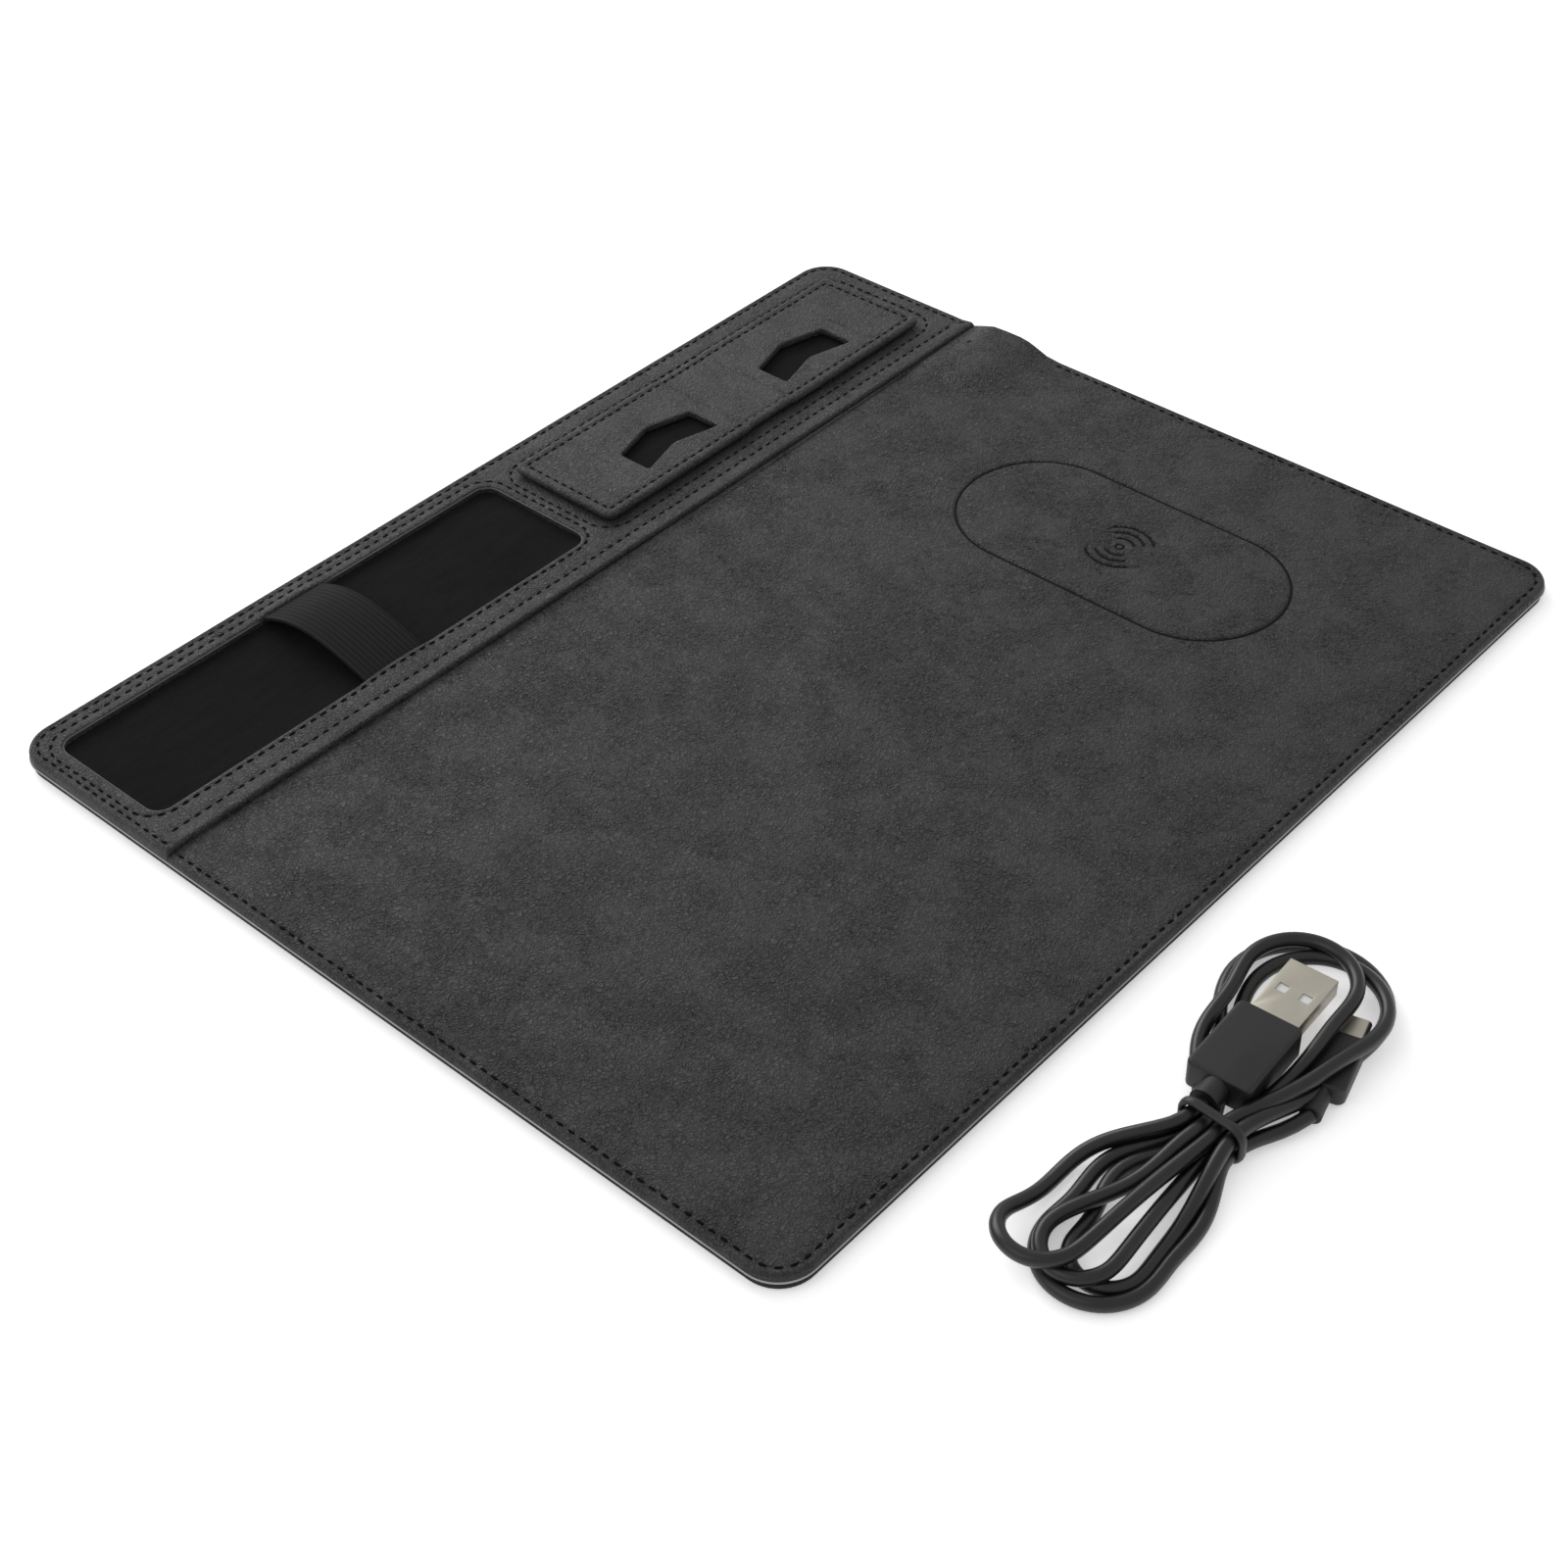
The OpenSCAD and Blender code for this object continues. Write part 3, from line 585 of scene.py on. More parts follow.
def from_polygon(x, y, outline):
    """Distance from a point to a closed outline."""
    best = 1e9
    for (ax, ay), (bx, by) in zip(outline, outline[1:] + outline[:1]):
        dx, dy = bx - ax, by - ay
        t = min(1, max(0, ((x - ax) * dx + (y - ay) * dy) / (dx * dx + dy * dy)))
        best = min(best, math.hypot(x - ax - t * dx, y - ay - t * dy))
    return best


def in_polygon(x, y, outline):
    """True when the closed outline goes round the point."""
    odd = False
    for (ax, ay), (bx, by) in zip(outline, outline[1:] + outline[:1]):
        if (ay > y) != (by > y) and x < (bx - ax) * (y - ay) / (by - ay) + ax:
            odd = not odd
    return odd


def grid(x0, x1, y0, y1, step):
    """Points about a step apart over a rectangle."""
    nx, ny = max(1, round((x1 - x0) / step)), max(1, round((y1 - y0) / step))
    return [(x0 + (x1 - x0) * i / nx, y0 + (y1 - y0) * j / ny)
            for i in range(nx + 1) for j in range(ny + 1)]


def triangulate(loops, lines, loose, keep):
    """Flat triangles through closed loops, open lines and loose points, kept where keep is
    true at their middles. Returns the points, the triangles and the border edges."""
    points, edges = [], []
    for chain, closed in [(c, True) for c in loops] + [(c, False) for c in lines]:
        first = len(points)
        points += chain
        edges += [(first + i, first + i + 1) for i in range(len(chain) - 1)]
        if closed:
            edges.append((len(points) - 1, first))
    points += loose
    flat, _, faces, *_ = geometry.delaunay_2d_cdt([Vector(p) for p in points], edges, [], 0, 1e-4)
    triangles = []
    for face in faces:
        mx = sum(flat[i].x for i in face) / len(face)
        my = sum(flat[i].y for i in face) / len(face)
        if keep(mx, my):
            triangles.append(tuple(face))
    seen = {}
    for face in triangles:
        for a, b in zip(face, face[1:] + face[:1]):
            key = (min(a, b), max(a, b))
            seen[key] = None if key in seen else (a, b)
    border = [edge for edge in seen.values() if edge]
    return [(p.x, p.y) for p in flat], triangles, border


def pillow(flat, triangles, border, top, bottom, skip_wall=None):
    """A closed skin over and under the flat triangles, with walls along their border."""
    count = len(flat)
    verts = [(x, y, top(x, y)) for x, y in flat] + [(x, y, bottom(x, y)) for x, y in flat]
    faces = list(triangles) + [tuple(count + i for i in reversed(t)) for t in triangles]
    for a, b in border:
        if not (skip_wall and skip_wall(flat[a], flat[b])):
            faces.append((b, a, count + a, count + b))
    return used_only(verts, faces)


def skin(loops, lines, loose, keep, top, bottom, skip_wall=None):
    """The points and faces of a closed skin over everything that keep accepts."""
    return pillow(*triangulate(loops, lines, loose, keep), top, bottom, skip_wall)


def used_only(verts, faces):
    """The same faces without the points that none of them uses."""
    order = {}
    for face in faces:
        for i in face:
            order.setdefault(i, len(order))
    return [verts[i] for i in order], [tuple(order[i] for i in face) for face in faces]


def lattice(rows, columns, first=0, ends=None):
    """Faces between rows of points, where each row closes on itself. Ends may be "capped", or
    "joined" where the last row meets the first. The points count from first."""
    faces = []
    for r in range(rows if ends == "joined" else rows - 1):
        here, there = first + r * columns, first + (r + 1) % rows * columns
        for a in range(columns):
            b = (a + 1) % columns
            faces.append((here + a, here + b, there + b, there + a))
    if ends == "capped":
        faces.append(tuple(first + i for i in reversed(range(columns))))
        faces.append(tuple(first + (rows - 1) * columns + i for i in range(columns)))
    return faces


def hoop(path, out, side, sides):
    """Points of an oval section carried round a closed flat path: each is its place in the
    path's plane and its distance from the plane."""
    points = []
    for i, (a, b) in enumerate(path):
        (a0, b0), (a1, b1) = path[i - 1], path[(i + 1) % len(path)]
        length = math.hypot(a1 - a0, b1 - b0)
        for k in range(sides):
            angle = math.tau * k / sides
            push = out * math.cos(angle) / length
            points.append((a + (b1 - b0) * push, b - (a1 - a0) * push, side * math.sin(angle)))
    return points


def sheet(name, region, radii, insets, step, loose, over, under, finish, auto=None):
    """A thin sheet that fills a rounded rectangle on the mat, between two faces."""
    verts, faces = skin(rings(region, radii, insets, step), [], loose,
                        lambda x, y: inside(x, y, *region, radii) > 0, over, under)
    return new_piece(name, verts, faces, finish, "mat", auto=auto)


def rolled(depth, radius, drop):
    """How far a rolled edge falls below the face, at a depth in from the edge."""
    if depth >= radius:
        return 0.0
    t = 1 - max(depth, 0) / radius
    return drop * (1 - math.sqrt(max(0.0, 1 - t * t)))


def groove(distance, half_width, depth):
    """A round-bottomed groove; distance is from its middle line."""
    if abs(distance) >= half_width:
        return 0.0
    return depth * 0.5 * (1 + math.cos(math.pi * distance / half_width))


def ripple(x, y, scale, seed):
    """A gentle unevenness from -1 to 1."""
    return noise.noise(Vector((x / scale, y / scale, seed)))


# ---- threads
THREAD_SIDES = 6
THREAD_RINGS = 7
THREAD_LENGTH = 0.72
THREAD_START = 0.14
THREAD_THIN = 0.2
THREAD_FULLER = 0.12
THREAD_SUNK = 0.3
THREAD_ARCH = 0.36


def stitches(name, path, surface, body, closed=True, slot="strip_leather", pitch=STITCH_PITCH):
    """Separate thread stitches along a path, each dipping into its needle holes."""
    marks = divided(path, 0.4, closed)
    if closed:
        marks.append(marks[0])
    along = [0.0]
    for (ax, ay), (bx, by) in zip(marks, marks[1:]):
        along.append(along[-1] + math.hypot(bx - ax, by - ay))
    count = max(1, round(along[-1] / pitch))
    pitch = along[-1] / count
    verts, faces = [], []
    cursor = 0

    def at(distance):
        """The point and the direction at a distance along the path."""
        nonlocal cursor
        distance = min(max(distance, 0), along[-1])
        while cursor > 0 and along[cursor] > distance:
            cursor -= 1
        while cursor < len(along) - 2 and along[cursor + 1] < distance:
            cursor += 1
        (ax, ay), (bx, by) = marks[cursor], marks[cursor + 1]
        length = max(along[cursor + 1] - along[cursor], 1e-6)
        t = (distance - along[cursor]) / length
        return ax + (bx - ax) * t, ay + (by - ay) * t, (bx - ax) / length, (by - ay) / length

    for k in range(count):
        faces += lattice(THREAD_RINGS, THREAD_SIDES, len(verts), "capped")
        for r in range(THREAD_RINGS):
            t = r / (THREAD_RINGS - 1)
            x, y, dx, dy = at((k + THREAD_START + THREAD_LENGTH * t) * pitch)
            arch = math.sin(math.pi * t) ** 0.6
            thick = THREAD_THIN + THREAD_FULLER * arch
            z = surface(x, y) - THREAD_SUNK + THREAD_ARCH * arch
            for s in range(THREAD_SIDES):
                angle = math.tau * s / THREAD_SIDES
                out = thick * 1.25 * math.cos(angle)
                verts.append((x - dy * out, y + dx * out, z + thick * math.sin(angle)))
    return new_piece(name, verts, faces, "thread", body, slot)


# ---- the mat's layers
MAT = (-HALF_X, HALF_X, Y_FRONT, Y_BACK)
MAT_RADII = (CORNER,) * 4
EDGE_ROLL = 1.0
EDGE_RINGS = (0, 0.06, 0.22, 0.45, 0.7, 1.0)
STITCH_RINGS = (-1.0, -0.45, 0, 0.45, 1.0)
MARK_RINGS = (3.9, 6.6, 9.3)
MARK_HALF = 0.45
# The middle of the zone's pressed line, in from its outline
ZONE_LINE = 0.75
MARK_ANGLE = math.radians(48)


def edge_depth(x, y):
    """How far a point is in from the mat's edge."""
    return inside(x, y, *MAT, MAT_RADII)


def mound(x, y):
    """Height of the leather raised over the port module, 0 to 1."""
    along = smooth((x - MOUND_X + 4) / 16)
    across = abs(y - PORT_Y)
    return along * (1 - smooth((across - 4) / MOUND_HALF))


def mark_depth(x, y):
    """Depth of the pressed charging mark: a ring and three arcs on either side."""
    dx, dy = x - ZONE_X, y - ZONE_Y
    r = math.hypot(dx, dy)
    if r > 11:
        return 0.0
    if r < 2.5:
        return groove(r - 1.1, 0.6, 0.4)
    off_axis = abs(math.atan2(dy, abs(dx)))
    depth = 0.0
    for ring in MARK_RINGS:
        beyond = max(0.0, off_axis - MARK_ANGLE) * ring
        depth = max(depth, groove(math.hypot(r - ring, beyond), MARK_HALF + 0.25, 0.5))
    return depth


def zone_inside(x, y):
    """How far a point is inside the pressed outline of the charging zone."""
    return inside(x, y, *ZONE, ZONE_RADII)


def mouse_top(x, y):
    """The face of the mouse leather."""
    depth = edge_depth(x, y)
    z = MOUSE_Z + MOUND_RISE * mound(x, y) + 0.1 * ripple(x, y, 38, 3.7)
    z -= rolled(depth, EDGE_ROLL, 1.3)
    sewn = 1 - smooth(mound(x, y) / 0.25)
    z -= groove(depth - STITCH_IN, SEAM_HALF, SEAM_DEEP) * sewn
    z += 0.1 * math.exp(-((depth - 1.1) / 0.5) ** 2) * sewn
    pressed = zone_inside(x, y)
    z -= groove(pressed - ZONE_LINE, SEAM_HALF, 0.5)
    if 0.4 < pressed < 9:
        z += 0.14 * smooth((pressed - 0.4) / 3) * (1 - smooth((pressed - 3) / 6))
    z -= mark_depth(x, y)
    return z - 0.9 * smooth((y - Y_HEM - 0.5) / 2)


def ply_bottom(x, y):
    """The underside of the upper ply's leather, turned up at the edge."""
    return PLY_Z + rolled(edge_depth(x, y), 0.6, 0.6)


def mark_loops():
    """Closed outlines of the pressed arcs and ring, to give the mesh crisp edges there."""

    def arc(side, r, count, spread):
        angles = [spread * (2 * i / count - 1) for i in range(count + 1)]
        return [(ZONE_X + side * r * math.cos(a), ZONE_Y + r * math.sin(a)) for a in angles]

    loops = []
    for side in (-1, 1):
        for ring in MARK_RINGS:
            for half in (0.22, MARK_HALF + 0.2):
                count = 6 + round(ring * 1.6)
                outer = arc(side, ring + half, count, MARK_ANGLE)
                loops.append(outer + arc(side, ring - half, count, MARK_ANGLE)[::-1])
    return loops + [arc(1, r, 20, math.pi)[1:] for r in (0.55, 0.8, 1.1, 1.4, 1.65)]


def port_span(a, b):
    """True for the short length of the side where the port's own panel goes."""
    reach = max(abs(a[1] - PORT_Y), abs(b[1] - PORT_Y))
    return min(a[0], b[0]) > HALF_X - 0.01 and reach < PANEL_HALF + 0.01


def mouse_cover():
    """The mouse leather, from the front edge to under the strip's hem."""
    radii = (CORNER, CORNER, 0.3, 0.3)
    region = (-HALF_X, HALF_X, Y_FRONT, Y_HEM + 3)
    loops = rings(region, radii, EDGE_RINGS[:1], 1.75) + rings(region, radii, EDGE_RINGS[1:], 5)
    loops += rings(region, radii, [STITCH_IN + d for d in STITCH_RINGS], 3)
    loops += rings(ZONE, ZONE_RADII, (-0.25, 0.1, 0.4, ZONE_LINE, 1.1, 1.4, 1.8, 3, 5), 3, 2)
    loops += mark_loops()
    lines = [[(x, Y_HEM - 0.5 + d) for x in (-HALF_X + 6, HALF_X - 6)] for d in (0, 1, 2)]
    for y in (PORT_Y - PANEL_HALF, PORT_Y + PANEL_HALF):
        lines.append([(HALF_X - 6, y), (HALF_X, y)])
    loose = grid(-HALF_X + 7, HALF_X - 7, Y_FRONT + 7, Y_HEM - 2, 6)
    loose += grid(MOUND_X - 2, HALF_X - 1, PORT_Y - MOUND_HALF - 1, PORT_Y + MOUND_HALF + 1, 1.3)
    verts, faces = skin(loops, lines, loose, lambda x, y: inside(x, y, *region, radii) > 0,
                        mouse_top, ply_bottom, port_span)
    tucked = []
    for x, y, z in verts:
        pull = 0.35 * smooth((y - Y_HEM + 0.6) / 1.2)
        tucked.append((math.copysign(abs(x) - pull, x) if abs(x) > HALF_X - 3 else x, y, z))
    piece = new_piece("mouse_leather", tucked, faces, "mouse_leather", "mat", auto=50)
    # The faces of the zone's pressed line and of the charging mark take a darker leather: painted shade
    # in these grooves.
    piece.data.materials.append(FINISHES["pressed_leather"])
    for face in piece.data.polygons:
        x, y, z = face.center / MM
        in_groove = abs(zone_inside(x, y) - ZONE_LINE) < 0.4
        if z > MOUSE_Z - 1 and (in_groove or mark_depth(x, y) > 0.14):
            face.material_index = 1
    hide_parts("mouse_cover")


def port_panel():
    """The leather face around the USB port, cut out for it and turned in round the cut."""
    x, swell = HALF_X, 0.12
    edge = [PORT_Y + PANEL_HALF * (i / 4 - 1) for i in range(9)]
    outline = [(y, ply_bottom(x, y)) for y in edge] + [(y, mouse_top(x, y)) for y in edge[::-1]]
    half_w, half_h = PORT_SLOT

    def slot_loop(grow):
        return rounded(PORT_Y - half_w, PORT_Y + half_w, PORT_Z - half_h, PORT_Z + half_h,
                       (half_h,) * 4, -grow, 0.5)

    hole = slot_loop(0)
    flat, triangles, _ = triangulate(
        [outline, hole, slot_loop(0.3), slot_loop(0.7)], [], [],
        lambda y, z: in_polygon(y, z, outline) and not in_polygon(y, z, hole))
    verts = [(x + swell * math.exp(-(from_polygon(y, z, hole) / 0.5) ** 2), y, z) for y, z in flat]
    faces = triangles + lattice(3, len(hole), len(verts))
    for depth, shrink in ((0, 0), (0.25, 0.1), (1.2, 0.1)):
        verts += [(x + swell - depth, y, z) for y, z in slot_loop(-shrink)]
    new_piece("port_leather_panel", *used_only(verts, faces), "mouse_leather", "mat")


STAND_FRAME = (STAND_X - 70.6, STAND_X + 72, Y_HEM + 9.4, Y_HEM + 53.7)
TRAY_FRAME = (WINDOW[0] - 3.4, WINDOW[1] + 2.8, WINDOW[2] - 1.7, WINDOW[3] + 3.4)
FRAME_RADII = (8,) * 4


def from_window(x, y):
    """How far a point is outside the tray's window."""
    return -inside(x, y, *WINDOW, WINDOW_RADII)


def strap_push(x, y):
    """The rim stands up a little where the elastic is tucked under it."""
    near = math.exp(-((x - LOOP_X) / 11) ** 4)
    edge = min(abs(y - WINDOW[2]), abs(y - WINDOW[3]))
    return near * math.exp(-(edge / 4.5) ** 2)


def strip_top(x, y):
    """The face of the strip's leather: hem, tray rim and the frames sewn round."""
    depth = edge_depth(x, y)
    z = STRIP_Z + 0.1 * ripple(x, y, 26, 9.2)
    z -= rolled(depth, EDGE_ROLL + 0.2, 1.6)
    z -= groove(depth - STITCH_IN, SEAM_HALF, SEAM_DEEP)
    z += 0.1 * math.exp(-((depth - 1.1) / 0.5) ** 2)
    hem = y - Y_HEM
    z += (HEM_Z - STRIP_Z) * (1 - smooth((hem - 2.4) / 2.0)) * smooth(depth / 1.5)
    z -= rolled(hem, 0.9, 1.0)
    z -= groove(y - HEM_STITCH_Y, SEAM_HALF, 0.28)
    window = from_window(x, y)
    z += 0.22 * math.exp(-((window - 1.3) / 0.9) ** 2) + 0.9 * strap_push(x, y)
    z -= rolled(window, 0.8, 1.1)
    z -= groove(inside(x, y, *TRAY_FRAME, FRAME_RADII), 0.9, 0.24)
    framed = inside(x, y, *STAND_FRAME, FRAME_RADII)
    z -= groove(framed, 0.9, 0.26)
    return z + 0.15 * (1 - smooth((framed + 0.2) / 1.5)) * smooth((framed + 3) / 2)


def strip_bottom(x, y):
    """The strip's underside: over the mouse leather at the hem, down to the suede at the tray."""
    if y < Y_HEM + 2 and edge_depth(x, y) > 2:
        return MOUSE_Z + 0.05
    if from_window(x, y) < 3:
        return max(ply_bottom(x, y), tray_high.z - 0.15)
    return ply_bottom(x, y)


def strip_cover():
    """The strip's leather, with the tray's window cut out."""
    radii = (0.3, 0.3, CORNER, CORNER)
    region = (-HALF_X, HALF_X, Y_HEM, Y_BACK)
    loops = rings(region, radii, (0, 0.06, 0.2, 0.45, 0.7, 1.0, 1.3), 4)
    loops += rings(MAT, MAT_RADII, [STITCH_IN + d for d in STITCH_RINGS], 3)
    loops += rings(WINDOW, WINDOW_RADII, (0, -0.08, -0.25, -0.5, -0.8, -1.3, -2.0, -3.0), 2.5)
    loops += rings(TRAY_FRAME, FRAME_RADII, (-0.9, -0.4, 0, 0.4, 0.9), 3)
    loops += rings(STAND_FRAME, FRAME_RADII, (-1.2, -0.5, 0, 0.5, 1.2), 3)
    lines = []
    for i in range(9):
        y = Y_HEM + 2.4 + 0.5 * i
        lines.append(divided([(-HALF_X + 3, y), (HALF_X - 3, y)], 4, False))
    loose = grid(-HALF_X + 3, HALF_X - 3, Y_HEM + 8, Y_BACK - 6, 5)
    verts, faces = skin(
        loops, lines, loose,
        lambda x, y: inside(x, y, *region, radii) > 0 and from_window(x, y) > 0,
        strip_top, strip_bottom)
    piece = new_piece("strip_leather", verts, faces, "strip_leather", "mat", auto=60)
    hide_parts("strip_cover", "tray_frame")


def underside():
    """The lower ply: a non-slip sheet wrapped up round the lower board."""
    inset = 0.35
    region = (-HALF_X + inset, HALF_X - inset, Y_FRONT + inset, Y_BACK - inset)
    radii = (CORNER - inset,) * 4

    def over(x, y):
        return PLY_Z - 0.03 - rolled(inside(x, y, *region, radii), 0.25, 0.4)

    def under(x, y):
        return base_low.z + rolled(inside(x, y, *region, radii), 0.8, 0.8)

    loose = grid(-HALF_X + 8, HALF_X - 8, Y_FRONT + 8, Y_BACK - 8, 20)
    piece = sheet("underside_wrap", region, radii, (0, 0.05, 0.2, 0.45, 0.8, 2), 5, loose, over,
                  under, "underside")
    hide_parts("base_sheet")


def tray_bed():
    """Suede glued into the tray, slightly soft and dished, with a turned-up border."""
    region = (tray_low.x, tray_high.x, tray_low.y, tray_high.y)

    def over(x, y):
        depth = inside(x, y, *region, WINDOW_RADII)
        z = tray_high.z + 0.5 * math.exp(-(depth / 1.4) ** 2)
        return z + 0.12 * ripple(x, y, 17, 1.3) + 0.05 * ripple(x, y, 5, 6.1)

    loose = grid(region[0] + 3, region[1] - 3, region[2] + 3, region[3] - 3, 3)
    piece = sheet("tray_suede", region, WINDOW_RADII, (0, 0.4, 0.9, 1.6, 2.6), 2.5, loose, over,
                  lambda x, y: tray_low.z, "suede", auto=50)
    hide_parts("tray_lining")


def bead(name, outline, height, radius, finish, slot):
    """A slim round bead along a closed outline."""
    verts = [(x, y, height + z) for x, y, z in hoop(outline, radius, radius, 6)]
    new_piece(name, verts, lattice(len(outline), 6, 0, "joined"), finish, "mat", slot)


def beads():
    """Pale beads painted as highlights: one along the edge between the plies, one on the turned lip of
    the tray's window.
    """
    edge = divided(rounded(*MAT, MAT_RADII, 0.02), 8)
    # a pale bead painted as the highlight along the edge between the plies
    bead("ply_edge_highlight", edge, PLY_Z + 0.45, 0.3, "cut_edge", "mouse_leather")
    # a pale bead painted as the highlight on the tray window's turned lip
    lip = divided(rounded(*WINDOW, WINDOW_RADII, -0.2), 6)
    bead("tray_lip_highlight", lip, STRIP_Z - 0.42, 0.2, "lip", "strip_leather")


LOOP_RISE = 6.2
LOOP_THICK = 0.9
LOOP_RIBS = 26


def pen_loop():
    """The elastic strap, ribbed along its length between two plain selvedges."""
    y0, y1 = WINDOW[2] - 2.5, WINDOW[3] + 2.5
    steps = 44
    half = LOOP_HALF
    rib_half = half - 1.9
    selvedge = [(half, -0.35), (half - 0.15, 0.0), (half - 0.9, 0.06), (half - 1.4, -0.06)]
    across = [(-u, v) for u, v in selvedge]
    for i in range(LOOP_RIBS * 6 + 1):
        u = -rib_half + 2 * rib_half * i / (LOOP_RIBS * 6)
        across.append((u, 0.05 * (0.5 - 0.5 * math.cos(math.tau * i / 6)) - 0.04))
    across += selvedge[::-1]
    section = across + [(u, -LOOP_THICK - v) for u, v in reversed(across)]
    verts = []
    for k in range(steps + 1):
        t = k / steps
        skew = t - 0.06 * math.sin(math.pi * t)
        y = y0 + (y1 - y0) * t
        arch = math.sin(math.pi * skew) ** 0.9 if 0 < t < 1 else 0.0
        z = MOUSE_Z - 0.35 + LOOP_RISE * arch
        slope = (0.5 - t) * 1.05
        for u, v in section:
            sag = 0.25 * (u / half) ** 2 * arch
            verts.append((LOOP_X + u, y - math.sin(slope) * v, z - sag + math.cos(slope) * v))
    piece = new_piece("pen_loop_strap", verts, lattice(steps + 1, len(section), 0, "capped"),
                      "elastic", "mat", auto=60)
    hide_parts("pen_loop")


def thread_rows():
    """The mat's sewing: its border in two lengths, the hem and the two frames."""
    x0, x1 = -HALF_X + STITCH_IN, HALF_X - STITCH_IN
    ring = rounded(x0, x1, Y_FRONT + STITCH_IN, Y_BACK - STITCH_IN, (CORNER - STITCH_IN,) * 4)
    front = [p for p in ring if p[1] < 0]
    back = [p for p in ring if p[1] > 0]
    stitches("mouse_border_thread", [(x0, Y_HEM - 1)] + front + [(x1, PORT_Y - 18)], mouse_top,
             "mat", closed=False, slot="mouse_leather")
    stitches("strip_border_thread", [(x1, Y_HEM + 2.2)] + back + [(x0, Y_HEM + 2.2)], strip_top,
             "mat", closed=False)
    stitches("hem_thread", [(-HALF_X + 5.5, HEM_STITCH_Y), (HALF_X - 5.5, HEM_STITCH_Y)],
             strip_top, "mat", closed=False)
    stitches("tray_frame_thread", rounded(*TRAY_FRAME, FRAME_RADII), strip_top, "mat")
    stitches("stand_frame_thread", rounded(*STAND_FRAME, FRAME_RADII), strip_top, "mat")


# ---- the phone stand
FLAP_MID_Z = (FLAP_Z + FLAP_TOP) / 2
FLAP = (-FLAP_HALF, FLAP_HALF, -FLAP_HALF_Y, FLAP_HALF_Y)
FLAP_RADII = (3,) * 4
FLAP_ROLL = 1.3
FLAP_STITCH = 2.9
FLAP_RINGS = (0, 0.1, 0.3, 0.6, 0.95, 1.3, 1.9, 2.2, 2.5, 2.9, 3.3, 3.7)
# Distances from the middle of the flap at which its skin is divided, clear of the creases
SPLIT_IN = 12.75
SPLIT_OUT = 45.75
BEND_HALF = 2.2
# The fixed middle section reaches down to the strip
CENTRE_DROP = 0.3


def chevron(grow=0.0):
    """Outline of a wing's slot about the ridge: an arrowhead with its notch below."""
    half, low, high = CHEVRON_HALF + grow, CHEVRON_Y - CHEVRON_SIDE / 2, CHEVRON_Y + CHEVRON_SIDE / 2
    lift = grow * math.hypot(CHEVRON_HALF, CHEVRON_RISE) / CHEVRON_HALF
    low, high = low - lift, high + lift
    points = [(-half, low), (0, low + CHEVRON_RISE), (half, low), (half, high),
              (0, high + CHEVRON_RISE), (-half, high)]
    return softened(points, 1.0 + grow)


def softened(points, radius):
    """The outline with each corner cut round by a short curve."""
    out = []
    for before, corner, after in zip(points[-1:] + points[:-1], points, points[1:] + points[:1]):
        c = Vector(corner)
        a = c + (Vector(before) - c).normalized() * radius
        b = c + (Vector(after) - c).normalized() * radius
        for i in range(5):
            t = i / 4
            p = a * (1 - t) ** 2 + c * 2 * t * (1 - t) + b * t * t
            out.append((p.x, p.y))
    return out


SLOT_OUTLINE = chevron()


def flap_inside(x, y):
    """How far a point is inside the flap's outline."""
    return inside(x, y, *FLAP, FLAP_RADII)


def wing_slot_distance(x, y):
    """Distance from the slot's edge of the wing that the point is on."""
    return from_polygon(abs(x) - CREASE_RIDGE, y, SLOT_OUTLINE)


def flap_surface(x, y, side):
    """Upper (side 1) or lower (side -1) face of the padded flap, about its middle."""
    depth = flap_inside(x, y)
    half = (FLAP_TOP - FLAP_Z) / 2
    z = half * math.sqrt(max(0.0, 1 - max(0.0, 1 - max(depth, 0) / FLAP_ROLL) ** 2))
    z -= 0.1 * smooth((depth - 1.6) / 1.2)
    z -= rolled(wing_slot_distance(x, y), 0.7, 0.55)
    sunk = 0.0
    if side > 0:
        sunk = groove(depth - FLAP_STITCH, 0.8, 0.26)
        z += 0.04 * ripple(x, y, 12, 4.4)
    for crease in (CREASE_IN, CREASE_RIDGE, CREASE_OUT):
        deep = 0.34 if (side > 0) == (crease != CREASE_RIDGE) else 0.14
        sunk = max(sunk, deep * math.exp(-((abs(x) - crease) / 0.6) ** 2) * smooth(depth / 1.5))
    return FLAP_MID_Z + side * max(z - sunk, 0.02 if depth > 0.01 else 0.0)


def narrowing(x):
    """The fixed middle section is a little narrower than the wings."""
    return 1 - 0.6 / FLAP_HALF_Y * (1 - smooth((abs(x) - CREASE_IN + 1.2) / 1.8))


